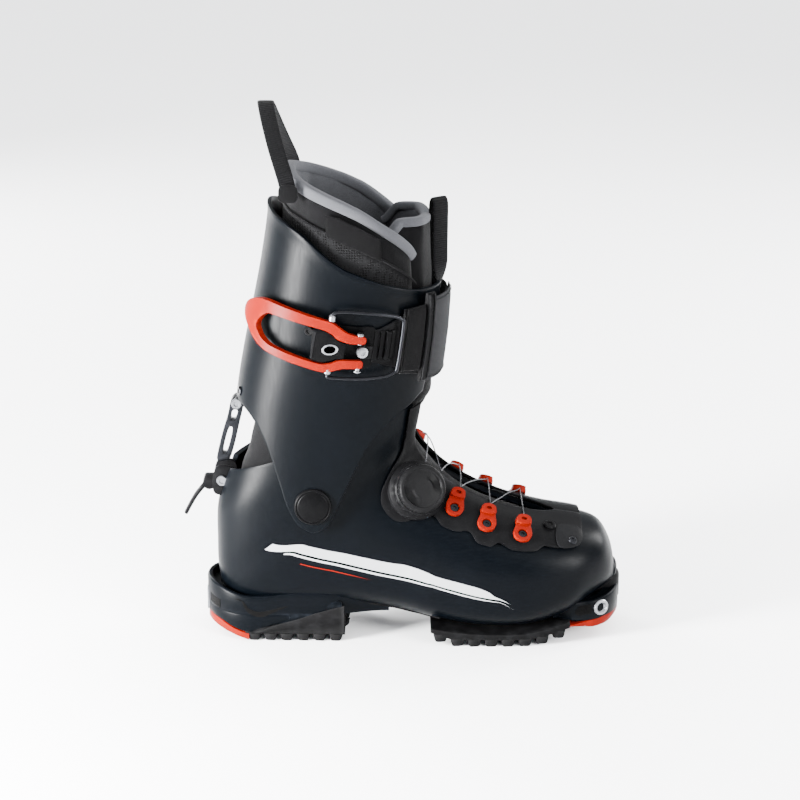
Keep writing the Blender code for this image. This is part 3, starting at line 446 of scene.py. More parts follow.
def webbing(name, dark, light, pitch=1.5):
    """Woven strap: ribs across its length, yarns along it, painted darker in the dips between them as
    shade.
    """
    item, tree, shader = material(name, Sheen_Weight=0.03, Sheen_Roughness=0.45)
    vector = places(tree, "weave")
    across = ribs(tree, vector, pitch, "X", 0.4)
    along = ribs(tree, vector, 0.8, "Y", 0.3)
    lint = noise_value(tree, places(tree), 0.5, 3.0)
    height = maths(tree, "ADD", maths(tree, "MULTIPLY", across, 0.65), maths(tree, "MULTIPLY", along, 0.35))
    # Painted shade: the colour follows the bump's heights, darker in the dips and lighter on the ribs, with
    # random tone from the lint.
    colour = tint(tree, maths(tree, "MULTIPLY", height, fit(tree, lint, 0.3, 0.7, 0.6, 1.1)), dark, light)
    connect(tree, shader, colour, fit(tree, lint, 0.3, 0.7, 0.7, 0.92), height, 0.8, 0.4)
    return item


def coated_cloth(name, dark, light):
    """Fine plain weave with a soft crease pattern, painted darker in the folds and between the yarns as
    shade.
    """
    item, tree, shader = material(name, Sheen_Weight=0.03, Sheen_Roughness=0.4)
    vector = places(tree, "weave")
    yarns = maths(tree, "MULTIPLY", ribs(tree, vector, 0.7, "X", 0.3), ribs(tree, vector, 0.7, "Y", 0.3))
    creases_and_shade = noise_value(tree, places(tree, stretch=(1.0, 0.6, 1.6)), 7.0, 3.0)
    height = maths(tree, "ADD", maths(tree, "MULTIPLY", yarns, 0.2), maths(tree, "MULTIPLY", creases_and_shade, 0.8))
    # Painted shade: the colour is darker in the folds and between the yarns, lighter on their crowns.
    colour = tint(tree, maths(tree, "MULTIPLY", yarns, creases_and_shade), dark, light)
    connect(tree, shader, colour, fit(tree, creases_and_shade, 0.3, 0.7, 0.5, 0.75), height, 0.6, 0.9)
    return item


def steel_cable(name):
    item, tree, shader = material(name, metallic=1.0)
    twist = ribs(tree, places(tree, "weave"), 0.9, "DIAGONAL", 0.0)
    # Painted shade: the grooves between the twisted strands are darker and the strands' crowns lighter.
    colour = tint(tree, twist, (0.010, 0.010, 0.011), (0.045, 0.045, 0.050))
    connect(tree, shader, colour, fit(tree, twist, 0.0, 1.0, 0.45, 0.3), twist, 0.6, 0.2)
    return item


NAVY = (0.0002, 0.0004, 0.0007), (0.0007, 0.0012, 0.0019), (0.006, 0.0075, 0.010)
NAVY_SHELL = moulded_plastic("navy_shell", *NAVY, 0.30, 0.44, (0.10, 1.0, 1.0))
NAVY_CUFF = moulded_plastic("navy_cuff", *NAVY, 0.30, 0.44, (1.0, 1.0, 0.06))
ORANGE = moulded_plastic("orange_plastic", (0.070, 0.0017, 0.0002), (0.100, 0.0030, 0.0004),
                         (0.16, 0.010, 0.002), 0.30, 0.42, (0.4, 0.4, 0.4), 0.4, 0.03)
BLACK = grained_plastic("black_nylon", (0.0009, 0.0009, 0.0010), (0.0024, 0.0024, 0.0026), 0.36, 0.52)
SATIN_BLACK = grained_plastic("satin_black", (0.0005, 0.0005, 0.0006), (0.0013, 0.0013, 0.0014),
                              0.26, 0.38, 0.15)
GREY_NYLON = grained_plastic("grey_nylon", (0.0018, 0.0018, 0.0020), (0.0040, 0.0041, 0.0044), 0.40, 0.55)
DIAL_FACE = grained_plastic("dial_nylon", (0.0016, 0.0016, 0.0017), (0.0036, 0.0036, 0.0038),
                            0.36, 0.5, 0.25)
GREY = grained_plastic("grey_board", (0.018, 0.019, 0.021), (0.030, 0.031, 0.034), 0.55, 0.70)
# Near black material for thin sheets painted as the shade inside the heel's slot and groove and the toe's
# recess.
RECESS_SHADE = felt("painted_recess_shade", (0.00005, 0.00005, 0.00006), (0.0002, 0.0002, 0.0002))
RUBBER = rubber("black_rubber")
STEEL = brushed_metal("brushed_steel", (0.16, 0.165, 0.175), 0.22, 0.38)
DARK_STEEL = brushed_metal("anodised_alloy", (0.010, 0.0104, 0.0118), 0.28, 0.42)
FELT = felt("grey_felt", (0.014, 0.0143, 0.016), (0.036, 0.0368, 0.040))
RIM_FELT = felt("pale_grey_felt", (0.022, 0.0225, 0.025), (0.040, 0.041, 0.045))
BLACK_KNIT = felt("black_knit", (0.0005, 0.0005, 0.0006), (0.0020, 0.0020, 0.0022), 0.5)
TAB = felt("black_tab", (0.0004, 0.0004, 0.0005), (0.0012, 0.0012, 0.0013), 0.3)
MESH = spacer_mesh("black_spacer_mesh", (0.0002, 0.0002, 0.0002), (0.0038, 0.0038, 0.0041), 1.7)
STRAP = webbing("black_webbing", (0.0004, 0.0004, 0.0005), (0.0032, 0.0032, 0.0035))
STRAP_FACE = webbing("grey_strap_face", (0.0024, 0.0024, 0.0028), (0.0096, 0.0098, 0.0108), 1.2)
HOOK_TAPE = felt("hook_tape", (0.0003, 0.0003, 0.0003), (0.0022, 0.0022, 0.0024), 0.8)
GAITER = coated_cloth("black_gaiter", (0.0005, 0.0005, 0.0006), (0.0022, 0.0022, 0.0024))
CABLE = steel_cable("steel_cable")
WHITE = grained_plastic("white_print", (0.20, 0.205, 0.21), (0.24, 0.245, 0.25), 0.35, 0.45, 0.1)


# Mesh building --------------------------------------------------------------------------------

def add_object(name, mesh, surface):
    item = bpy.data.objects.new(name, mesh)
    bpy.context.scene.collection.objects.link(item)
    mesh.materials.append(surface)
    return item


def applied(item):
    """Swap an object's mesh for its evaluated one and drop the modifiers."""
    bpy.context.view_layer.update()
    mesh = bpy.data.meshes.new_from_object(item.evaluated_get(bpy.context.evaluated_depsgraph_get()))
    item.modifiers.clear()
    item.data = mesh
    return item


def store_weave(mesh, lengths):
    """Keep every point's lengths along and across its cloth, for the weave's pattern."""
    layer = mesh.attributes.get("weave") or mesh.attributes.new("weave", "FLOAT_VECTOR", "POINT")
    layer.data.foreach_set("vector", [value for pair in lengths for value in (*pair, 0.0)])


def row_lengths(rows):
    """Distance of every point along and across a grid of rows."""
    middle = len(rows[0]) // 2
    down = 0.0
    result = []
    for r, row in enumerate(rows):
        if r:
            down += (row[middle] - rows[r - 1][middle]).length
        along = 0.0
        for c, point in enumerate(row):
            if c:
                along += (point - row[c - 1]).length
            result.append((along, down))
    return result


def grid(name, rows, surface, loop=False, caps=False):
    """Object over rows of points; a loop closes each row, and caps close its first and last."""
    rows = [[Vector(point) for point in row] for row in rows]
    width = len(rows[0])
    faces = []
    for r in range(len(rows) - 1):
        for c in range(width if loop else width - 1):
            right = (c + 1) % width
            faces.append((r * width + c, r * width + right, (r + 1) * width + right, (r + 1) * width + c))
    if caps:
        faces.append(tuple(reversed(range(width))))
        faces.append(tuple(range((len(rows) - 1) * width, len(rows) * width)))
    mesh = bpy.data.meshes.new(name)
    mesh.from_pydata([world(point) for row in rows for point in row], [], faces)
    store_weave(mesh, row_lengths(rows))
    return add_object(name, mesh, surface)


def weld(item, distance=0.02):
    """Join points that meet and turn the faces outwards."""
    cage = bmesh.new()
    cage.from_mesh(item.data)
    bmesh.ops.remove_doubles(cage, verts=cage.verts, dist=distance * MM)
    bmesh.ops.dissolve_degenerate(cage, edges=cage.edges, dist=distance * MM)
    bmesh.ops.recalc_face_normals(cage, faces=cage.faces)
    cage.to_mesh(item.data)
    cage.free()
    return item


def closed(name, rows, surface):
    """Solid piece over closed rows of points."""
    return weld(grid(name, rows, surface, loop=True, caps=True))


def bevel(item, width, segments=2, limit=38.0):
    """Round the edges that turn by more than limit degrees."""
    modifier = item.modifiers.new("edges", "BEVEL")
    modifier.width = width * MM
    modifier.segments = segments
    modifier.limit_method = "ANGLE"
    modifier.angle_limit = radians(limit)


def face_out(item, inside):
    """Turn an open surface's normals away from a place inside it."""
    mesh = item.data
    centre = world(inside)
    score = sum(face.normal.dot(face.center - centre) * face.area for face in mesh.polygons)
    if score < 0:
        mesh.flip_normals()


def walled(item, wall, edge, outward):
    """Give an open surface its wall and rounded edges."""
    modifier = item.modifiers.new("wall", "SOLIDIFY")
    modifier.thickness = wall * MM
    modifier.offset = 1.0 if outward else -1.0
    modifier.use_even_offset = True
    modifier.use_quality_normals = True
    bevel(item, edge, limit=50.0)
    return applied(item)


def sheet(name, rows, surface, inside, wall, edge, outward=False, joint=0.0):
    """Walled piece over open rows of points; its outer face turns away from a place inside it."""
    item = grid(name, rows, surface)
    if joint:
        weld(item, joint)
    face_out(item, inside)
    return walled(item, wall, edge, outward)


def done(item, body, nodes=(), sharp=32.0):
    """Shade a finished piece, tie it to its body and hide the CAD nodes it stands for."""
    item.data.shade_smooth()
    item.data.set_sharp_from_angle(angle=radians(sharp))
    if nodes:
        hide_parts(*nodes)
    if body:
        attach(item, body)
    return item


def filled(name, outlines, thickness, surface):
    """Flat plate in the XY plane, in plain millimetres, from an outline and its holes."""
    curve = bpy.data.curves.new(name, "CURVE")
    curve.dimensions = "2D"
    curve.fill_mode = "BOTH"
    curve.extrude = thickness / 2
    for outline in outlines:
        strand = curve.splines.new("POLY")
        strand.points.add(len(outline) - 1)
        for point, (x, y) in zip(strand.points, outline):
            point.co = (x, y, 0.0, 1.0)
        strand.use_cyclic_u = True
    carrier = bpy.data.objects.new(name, curve)
    bpy.context.scene.collection.objects.link(carrier)
    bpy.context.view_layer.update()
    mesh = bpy.data.meshes.new_from_object(carrier.evaluated_get(bpy.context.evaluated_depsgraph_get()))
    bpy.data.objects.remove(carrier, do_unlink=True)
    cage = bmesh.new()
    cage.from_mesh(mesh)
    bmesh.ops.remove_doubles(cage, verts=cage.verts, dist=0.01)
    bmesh.ops.recalc_face_normals(cage, faces=cage.faces)
    cage.to_mesh(mesh)
    cage.free()
    mesh.materials.clear()
    return add_object(name, mesh, surface)


def plate(name, outlines, thickness, placement, surface, edge, segments=2):
    """Flat plate with rounded edges, put in place by a matrix in millimetres."""
    item = filled(name, outlines, thickness, surface)
    item.data.transform(Matrix.Scale(MM, 4) @ Matrix.Translation(SHIFT) @ placement)
    bevel(item, edge, segments)
    return applied(item)


def wrapped(name, outlines, skin, low, high, surface, step, edge, segments=2):
    """Plate that follows a curved skin. The outline is in the skin's own two measures."""
    item = filled(name, outlines, high - low, surface)
    cage = bmesh.new()
    cage.from_mesh(item.data)
    for axis in (0, 1):
        values = [point[axis] for point in outlines[0]]
        count = int((max(values) - min(values)) / step)
        for k in range(1, count + 1):
            origin = Vector((0.0, 0.0, 0.0))
            origin[axis] = min(values) + (max(values) - min(values)) * k / (count + 1)
            normal = Vector((0.0, 0.0, 0.0))
            normal[axis] = 1.0
            bmesh.ops.bisect_plane(
                cage, geom=[*cage.verts, *cage.edges, *cage.faces], dist=0.02, plane_co=origin,
                plane_no=normal)
    lengths = []
    for vert in cage.verts:
        a, b, t = vert.co
        lengths.append((a, b))
        vert.co = world(skin(a, b, (low + high) / 2 + t))
    bmesh.ops.recalc_face_normals(cage, faces=cage.faces)
    cage.to_mesh(item.data)
    cage.free()
    store_weave(item.data, lengths)
    bevel(item, edge, segments, 50.0)
    return applied(item)


def placed(centre, axis, up=(0.03, 0.02, 1.0)):
    """Placement at a centre whose +Z points along axis and whose +Y leans to up."""
    z = Vector(axis).normalized()
    x = Vector(up).cross(z).normalized()
    return Matrix.Translation(Vector(centre)) @ Matrix((x, z.cross(x), z)).transposed().to_4x4()


def on_skin(skin, a, b, lift):
    """Placement on a curved skin, +Z outwards."""
    base = skin(a, b, lift)
    return placed(base, skin(a, b, lift + 1.0) - base)


def turned(name, place, outline, surface, sides, wave=None):
    """Turned piece from (radius, height) pairs; wave(a, row) may scale the radius round it."""
    rows = []
    for k, (radius, height) in enumerate(outline):
        row = []
        for a in full_turn(sides):
            r = radius * (wave(a, k) if wave else 1.0)
            row.append(place @ Vector((r * cos(a), r * sin(a), height)))
        rows.append(row)
    return closed(name, rows, surface)


def direction_at(route, k):
    """Unit vector along a route at its point k."""
    return (Vector(route[min(k + 1, len(route) - 1)]) - Vector(route[max(k - 1, 0)])).normalized()


def tube(name, route, radius, surface, sides):
    """Round wire along a route."""
    rows = []
    side = Vector((0.1, 0.2, 1.0))
    for k, point in enumerate(route):
        along = direction_at(route, k)
        side = (side - along * side.dot(along)).normalized()
        other = along.cross(side)
        rows.append([
            Vector(point) + radius * (cos(a) * side + sin(a) * other)
            for a in full_turn(sides)
        ])
    return closed(name, rows, surface)


def route_through(points, count):
    return [Vector(spline(points, place)) for place in span(0, len(points) - 1, count)]


def section(half_width, half_height, count=20, power=5.0):
    """Rounded strap section as (across, up) pairs."""
    return [(half_width * squared(cos(a), 2 / power), half_height * squared(sin(a), 0.8))
            for a in full_turn(count)]


def woven(name, rows, weave, surface):
    """Solid strap over closed rows of points, with its lengths along and across."""
    item = grid(name, rows, surface, loop=True, caps=True)
    store_weave(item.data, weave)
    return weld(item)


def ribbon(name, route, width, thickness, across, surface, wobble=0.0):
    """Strip along a route; its width lies along the direction across(place)."""
    outline = section(width / 2, thickness / 2)
    rows, weave, run = [], [], 0.0
    for k, point in enumerate(route):
        along = direction_at(route, k)
        side = Vector(across(Vector(point)))
        side = (side - along * side.dot(along)).normalized()
        up = side.cross(along)
        sway = wobble * noise.noise(Vector(point) * 0.05)
        rows.append([Vector(point) + side * a + up * (b + sway) for a, b in outline])
        if k:
            run += (Vector(point) - Vector(route[k - 1])).length
        weave += [(run, a) for a, _ in outline]
    return woven(name, rows, weave, surface)


def smooth_loop(points, per=5):
    """Closed smooth outline through control points."""
    count = len(points)
    result = []
    for k in range(count):
        four = [points[(k + j) % count] for j in (-1, 0, 1, 2)]
        for step in range(per):
            t = step / per
            result.append(tuple(
                0.5 * (2 * b + (c - a) * t + (2 * a - 5 * b + 4 * c - d) * t * t
                       + (3 * b - a - 3 * c + d) * t ** 3)
                for a, b, c, d in zip(*four)))
    return result


def circle(centre, radius, count):
    return [(centre[0] + radius * cos(a), centre[1] + radius * sin(a)) for a in full_turn(count)]


def plane_xz(y):
    """Placement that maps a plate's x, y to the design's x, z at a fixed y."""
    return Matrix(((1, 0, 0, 0), (0, 0, -1, y), (0, 1, 0, 0), (0, 0, 0, 1)))


def moulding(name, outline, levels, surface):
    """Block over a plan outline function: levels are (height, inset); outline(inset) gives the ring."""
    return closed(name, [[(x, y, z) for x, y in outline(inset)] for z, inset in levels], surface)


def inflate(item, cap):
    """Cloth simulation that swells a closed piece by at most cap(place) millimetres."""
    remesh = item.modifiers.new("even", "REMESH")
    remesh.mode = "VOXEL"
    remesh.voxel_size = 4.5 * MM
    applied(item)
    rest = [vert.co.copy() for vert in item.data.vertices]
    cloth = item.modifiers.new("cloth", "CLOTH")
    cloth.settings.use_pressure = True
    cloth.settings.uniform_pressure_force = 4.0
    cloth.settings.effector_weights.gravity = 0.0
    scene = bpy.context.scene
    for step in range(1, 21):
        scene.frame_set(step)
    applied(item)
    for vert, start in zip(item.data.vertices, rest):
        moved = vert.co - start
        limit = cap(start / MM - SHIFT) * MM
        if moved.length > limit:
            vert.co = start + moved * (limit / moved.length)
    scene.frame_set(1)
    smooth = item.modifiers.new("smooth", "SUBSURF")
    smooth.levels = smooth.render_levels = 1
    return applied(item)


# Lower shell and overlay ----------------------------------------------------------------------

def collar_row(u, angle):
    """Station of a point near the collar, which is notched behind for the lock bracket."""
    notch = 0.8 * (1.0 - ease(abs(angle - 180.0), 13.0, 17.5))
    return u - notch * max(u - 12.0, 0.0) / 3.0


def make_lower_shell():
    """Foot of the boot, rounded off at the tip and open over the instep and at the collar."""
    us = [*span(0.0, 1.0, 9), *span(1.12, 3.6, 20), *span(3.7, 4.6, 12), *span(4.7, FOOT_LAST, 74)]
    rows = []
    for u in us:
        angles = span(shell_edge(u), 360.0 - shell_edge(u), 97)
        rows.append([foot_point(collar_row(u, angle), angle) for angle in angles])
    tip = rows[0]
    middle = sum(tip, Vector()) / len(tip)
    cap = []
    for share in (0.04, 0.3, 0.55, 0.75, 0.88, 0.96):
        bow = Vector((3.4 * sqrt(1.0 - share * share), 0.0, 0.4 * (1.0 - share)))
        cap.append([middle + (point - middle) * share + bow for point in tip])
    shell = sheet("shell_lower", cap + rows, NAVY_SHELL, (130.0, 0.0, 60.0), SHELL_WALL, 1.1, joint=0.05)
    done(shell, "shell", ["lower_shell"])


def heel_outline(inset, front=94.0, count=25):
    """Plan of the heel, drawn in by inset."""
    half = HEEL_HALF - inset
    arc = [(HEEL_X - (HEEL_REACH - inset) * cos(a), half * sin(a))
           for a in span(-pi / 2, pi / 2, count)]
    return [(front - inset, -half - 1.5), *arc, (front - inset, half + 1.5)]


def toe_outline(inset, rear=250.0, count=29):
    """Plan of the toe block, drawn in by inset."""
    arc = [
        (TOE_X + (TOE_REACH - inset) * sin(a), (TOE_HALF - inset) * cos(a))
        for a in span(0.06, pi - 0.06, count)
    ]
    return [(rear, 30.0 - inset), (rear + 5.0, 34.6 - inset), *arc, (rear + 5.0, -34.6 + inset),
            (rear, -30.0 + inset)]


def heel_place(angle, z, lift):
    """Place on the heel's side wall: 0 degrees at the outer side, 90 behind, 180 at the inner side."""
    if angle < 0.0 or angle > 180.0:
        beyond, side = (-angle, -1) if angle < 0.0 else (angle - 180.0, 1)
        x = HEEL_X + 0.6 * beyond
        return Vector((x, side * (HEEL_HALF + 0.0145 * beyond + lift - 9.0 * ease(x, 80.0, 126.0)), z))
    a = radians(angle)
    return Vector((HEEL_X - (HEEL_REACH + lift) * sin(a), -(HEEL_HALF + lift) * cos(a), z))


def toe_place(angle, z, lift):
    """Place on the toe's side wall: 0 degrees at the outer side, 90 in front."""
    a = radians(angle)
    if angle < 0.0 or angle > 180.0:
        beyond, side = (-angle, -1) if angle < 0.0 else (angle - 180.0, 1)
        inward = 8.0 * ease(beyond, 14.0, 44.0)
        return Vector((TOE_X - 0.5 * beyond, side * (TOE_HALF + 0.13 * beyond + lift - inward), z))
    return Vector((TOE_X + (TOE_REACH + lift) * sin(a), -(TOE_HALF + lift) * cos(a), z))


def wall_rim(name, place, angles, top, low, groove):
    """Moulded rim round the heel or toe, to a height top(angle), with a groove behind it."""
    rows = []
    for angle in angles:
        high = top(angle)
        profile_points = [
            (low, -0.3), (low + 1.0, 0.15), (lerp(low, high, 0.5), 0.2), (high - 1.6, 0.1),
            (high - 0.5, -0.3),
            (high, -1.1), (high, -2.2), (high - 0.4, -3.0), (high - groove, -3.6), (high - groove, -9.0),
            (low, -9.0),
        ]
        rows.append([place(angle, z, lift) for z, lift in profile_points])
    return closed(name, rows, NAVY_SHELL)


def heel_top(angle):
    """The rim is high behind and lowest at the sides, and rises again where it runs into the shell."""
    away = abs(angle - 90.0)
    return 39.0 - 6.2 * ease(away, 20.0, 88.0) + 3.4 * ease(away, 92.0, 150.0)


def toe_top(angle):
    """The toe's rim is highest in front."""
    away = abs(angle - 90.0)
    return 33.0 - 4.0 * ease(away, 10.0, 100.0)


def heel_low(x):
    """Lower edge of the heel's navy side: over the orange tip, then over the rubber."""
    return profile([(0.3, 15.4), (4.0, 14.6), (31.0, 5.8), (34.0, 7.4), *SOLE_LINE[1:3]], x)


def make_ledges():
    """Moulded heel and toe with their rims, and near black sheets on their sides painted as the shade in
    their recesses.
    """
    heel = ((11.7, 1.2), (12.3, 0.4), (13.6, 0.0), (26.0, 0.0), (28.5, 0.3), (30.2, 1.2), (31.0, 3.0))
    apron = [(x, heel_half(x) + 0.2, heel_low(x), 20.0) for x in span(0.3, 58.0, 44)]
    toe = ((14.2, 1.6), (14.8, 0.5), (16.0, 0.0), (24.2, 0.0), (26.6, 0.6), (27.6, 2.6))
    nose = ((22.0, 0.6), (23.0, 0.0), (37.0, 0.0), (39.0, 0.5), (40.2, 1.6), (40.8, 3.2))
    for piece in (
            moulding("heel_block", heel_outline, heel, NAVY_SHELL),
            slab("heel_apron", apron, NAVY_SHELL, 14.0, 44),
            wall_rim("heel_rim", heel_place, span(-154.0, 334.0, 150), heel_top, 20.0, 6.0),
            moulding("toe_block", toe_outline, toe, NAVY_SHELL),
            wall_rim("toe_rim", toe_place, span(-44.0, 224.0, 90), toe_top, 16.0, 1.2),
            moulding("toe_lug", nose_outline, nose, BLACK)):
        done(piece, "shell", sharp=40)
    for label, mirrored in (("outer", False), ("inner", True)):
        marks = (
            # Painted shade: each mark is a thin near black sheet laid on the side where a slot, groove or
            # recess would lie in shade.
            ("heel_slot_shade", heel_place, [(44, 27.0), (66, 28.6), (67, 22.4), (45, 20.6)], 0.3),
            ("heel_groove_shade", heel_place, smooth_loop([
                (24, 30.2), (16, 30.0), (9, 21.8), (-6, 17.8), (-22, 21.6), (-38, 26.2), (-22, 23.8),
                (-6, 21.8),
                (6, 24.0), (13, 29.0)], 5), 0.2),
            ("toe_recess_shade", toe_place, smooth_loop([
                (-10, 26.2), (0, 26.6), (8, 26.8), (9, 20.6), (0, 19.8), (-10, 19.4), (-15, 22.0)], 5),
                0.25))
        for name, place, outline, edge in marks:
            if mirrored:
                outline = [(180.0 - angle, z) for angle, z in outline]
            mark = wrapped(f"{name}_{label}", [outline], place, -0.6, 0.34, RECESS_SHADE, 2.5, edge)
            done(mark, "shell")


def nose_outline(inset, count=13):
    """Plan of the lug at the tip of the toe, drawn in by inset."""
    arc = [(279.6 + (8.2 - inset) * cos(a), (12.5 - inset) * sin(a))
           for a in span(-pi / 2, pi / 2, count)]
    return [(268.0, -12.5 + inset), *arc, (268.0, 12.5 - inset)]


STRIPE_LINE = (
    (3.65, 102.6), (4.75, 90.6), (5.70, 90.0), (6.72, 91.7), (7.83, 94.3), (9.14, 95.6), (10.85, 99.9),
    (12.33, 118.4),
)


def make_stripes():
    """Plain printed stripes along both sides of the foot."""
    stripes = (("white_wide", -4.0, 3.4, 4.5, 11.9, WHITE), ("white_thin", 5.4, 7.2, 4.4, 11.2, WHITE),
               ("orange_thin", 12.6, 13.6, 7.8, 10.3, ORANGE))
    for side, label in ((1, "outer"), (-1, "inner")):
        for name, low, high, start, end, surface in stripes:
            rows = []
            for u in span(start, end, 60):
                middle = profile(STRIPE_LINE, u)
                reach = (foot_point(u, middle + 1.0) - foot_point(u, middle - 1.0)).length / 2
                narrow = ease(u, start, start + 0.9)
                rows.append([foot_skin(u, side * (middle + offset / reach), 0.12)
                             for offset in span(lerp(high, low, narrow), high, 5)])
            stripe = grid(f"stripe_{name}_{label}", rows, surface)
            face_out(stripe, (130.0, 0.0, 40.0))
            done(stripe, "shell")


def make_overlay():
    """Black frame round the instep that carries the guides and the dial."""
    us = [*span(2.9, 10.6, 110), *span(10.75, FOOT_LAST, 30)]
    for side, label in ((1, "outer"), (-1, "inner")):
        rows = []
        for u in us:
            inner = max(0.82 * shell_edge(u), 0.0 if u < 3.7 else 2.0)
            outer = max(profile(OVERLAY_EDGE, u), inner + 3.0)
            rows.append([foot_skin(u, side * angle, 1.3 + 0.4 * sin(pi * t) ** 0.5)
                         for t, angle in zip(span(0, 1, 21), span(inner, outer, 21))])
        piece = sheet(f"instep_frame_{label}", rows, BLACK, (190.0, 0.0, 40.0), 1.4, 0.55, outward=True)
        done(piece, "shell", ["lace_frame"] if side > 0 else ())


STATION_LENGTH = 14.0


def foot_sheet(a, b, lift):
    """Foot skin measured in about millimetres along and degrees round."""
    return foot_skin(a / STATION_LENGTH, b, lift)


def make_front_plate():
    """Small riveted bracket at the front end of the overlay, and its snap."""
    outline = smooth_loop([(a * STATION_LENGTH, b) for a, b in (
        (3.62, 26), (3.62, 48), (3.3, 52), (2.95, 46), (3.0, 28))])
    bracket = wrapped("front_bracket", [outline], foot_sheet, 3.2, 4.4, GREY_NYLON, 3.0, 0.4)
    done(bracket, "shell")
    for name, u, angle, radius, surface in (
            ("front_rivet", 3.22, 44.0, 3.0, DARK_STEEL), ("front_snap", 3.85, 27.0, 4.2, SATIN_BLACK)):
        head = turned(name, on_skin(foot_skin, u, angle, 3.6), [
            (radius, 0.0), (radius, 0.9), (radius * 0.82, 1.5), (radius * 0.5, 1.5), (radius * 0.42, 0.9),
            (0.05, 0.9),
        ], surface, 28)
        done(head, "shell")


# Sole -----------------------------------------------------------------------------------------

def slab(name, sections, surface, power=8.0, count=28):
    """Sole body through (x, half width, bottom, top) sections."""
    rows = []
    for x, half, low, top in sections:
        middle, height = (low + top) / 2, (top - low) / 2
        row = []
        for a in full_turn(count):
            y = half * squared(cos(a), 2 / power)
            row.append((x, y, middle + height * squared(sin(a), 2 / power)))
        rows.append(row)
    return closed(name, rows, surface)


def resampled(sections, count):
    return [spline(sections, place) for place in span(0, len(sections) - 1, count)]


def lug(centre, length, width, low, high, turn):
    """Tapered tread block with rounded corners."""
    rows = []
    for z, grow in ((high, 1.4), (low + 1.2, 0.6), (low + 0.4, 0.25), (low, -0.3)):
        row = []
        for a in full_turn(16):
            x = (length / 2 + grow) * squared(cos(a), 0.35)
            y = (width / 2 + grow) * squared(sin(a), 0.35)
            row.append((centre[0] + x * cos(turn) - y * sin(turn),
                        centre[1] + x * sin(turn) + y * cos(turn), z))
        rows.append(row)
    return grid("lug", rows, RUBBER, loop=True, caps=True)


def combine(name, items):
    """One object from several pieces of the same material."""
    cage = bmesh.new()
    for item in items:
        cage.from_mesh(item.data)
    mesh = bpy.data.meshes.new(name)
    bmesh.ops.recalc_face_normals(cage, faces=cage.faces)
    cage.to_mesh(mesh)
    cage.free()
    surface = items[0].data.materials[0]
    for item in items:
        bpy.data.objects.remove(item, do_unlink=True)
    return add_object(name, mesh, surface)


def heel_half(x):
    """Half width of the heel's outline, which is round behind and widens a little forwards."""
    if x > HEEL_X:
        return HEEL_HALF + 1.5 * (x - HEEL_X) / 62.0
    return HEEL_HALF * sqrt(max(1.0 - ((HEEL_X - x) / HEEL_REACH) ** 2, 0.0))


def toe_half(x):
    """Half width of the toe's outline, which is round in front."""
    if x < TOE_X:
        return TOE_HALF + 5.0 * (TOE_X - x) / 11.0
    return TOE_HALF * sqrt(max(1.0 - ((x - TOE_X) / TOE_REACH) ** 2, 0.0))


FOREFOOT = (
    (155.0, 44.0, 5.0, 13.4), (170.0, 44.5, 0.0, 11.4), (189.0, 45.5, 0.0, 9.8), (207.0, 45.5, 0.0, 9.6),
    (222.0, 44.5, 0.0, 10.2), (238.0, 42.0, 3.0, 13.2), (251.0, 38.5, 6.4, 16.6),
)


def forefoot_low(x):
    return profile([(row[0], row[2]) for row in FOREFOOT], x)


def forefoot_half(x):
    return profile([(row[0], row[1]) for row in FOREFOOT], x)


SOLE_LINE = (
    (31.7, 6.9), (47.7, 12.0), (65.1, 17.2), (78.9, 22.0), (99.7, 26.8), (113.4, 25.6), (134.0, 21.2),
    (151.2, 16.4),
    (167.6, 14.7), (208.1, 11.5), (230.0, 13.0), (243.2, 15.0), (252.0, 17.0),
)
TOE_TIP_LOW = ((251.3, 12.0), (266.0, 9.6), (276.0, 10.4), (286.2, 14.2))
TOE_TIP_HIGH = ((251.3, 13.6), (266.0, 16.0), (286.2, 19.6))


def rand_edge(u):
    """Angle at which the rubber under the foot ends, from the sole line's height."""
    low, high = 95.0, 178.0
    for _ in range(22):
        middle = (low + high) / 2
        point = foot_skin(u, middle, 1.0)
        if point.z > profile(SOLE_LINE, point.x):
            low = middle
        else:
            high = middle
    return low


def make_rand():
    """Rubber that climbs the sides of the heel and bridges the arch to the forefoot."""
    rows = []
    for x in span(30.0, 95.5, 34):
        high = profile(SOLE_LINE, x)
        half, low = heel_half(x), 6.0
        edge = ((half + 0.7, high), (half + 1.3, high - 0.9), (half + 1.1, lerp(low, high, 0.4)),
                (half, low))
        outer = [(x, -y, max(z, low + 0.02 * k)) for k, (y, z) in enumerate(edge)]
        rows.append([*outer, *[(x, -y, z) for x, y, z in reversed(outer)]])
    done(closed("heel_rand", rows, RUBBER), "shell", sharp=50)
    rows = []
    for u in span(9.2, 5.9, 44):
        edge = rand_edge(u)
        rows.append([foot_skin(u, angle, 1.0) for angle in span(edge, 360.0 - edge, 49)])
    rand = sheet("arch_rand", rows, RUBBER, (130.0, 0.0, 60.0), 1.4, 0.6)
    done(rand, "shell", sharp=50)


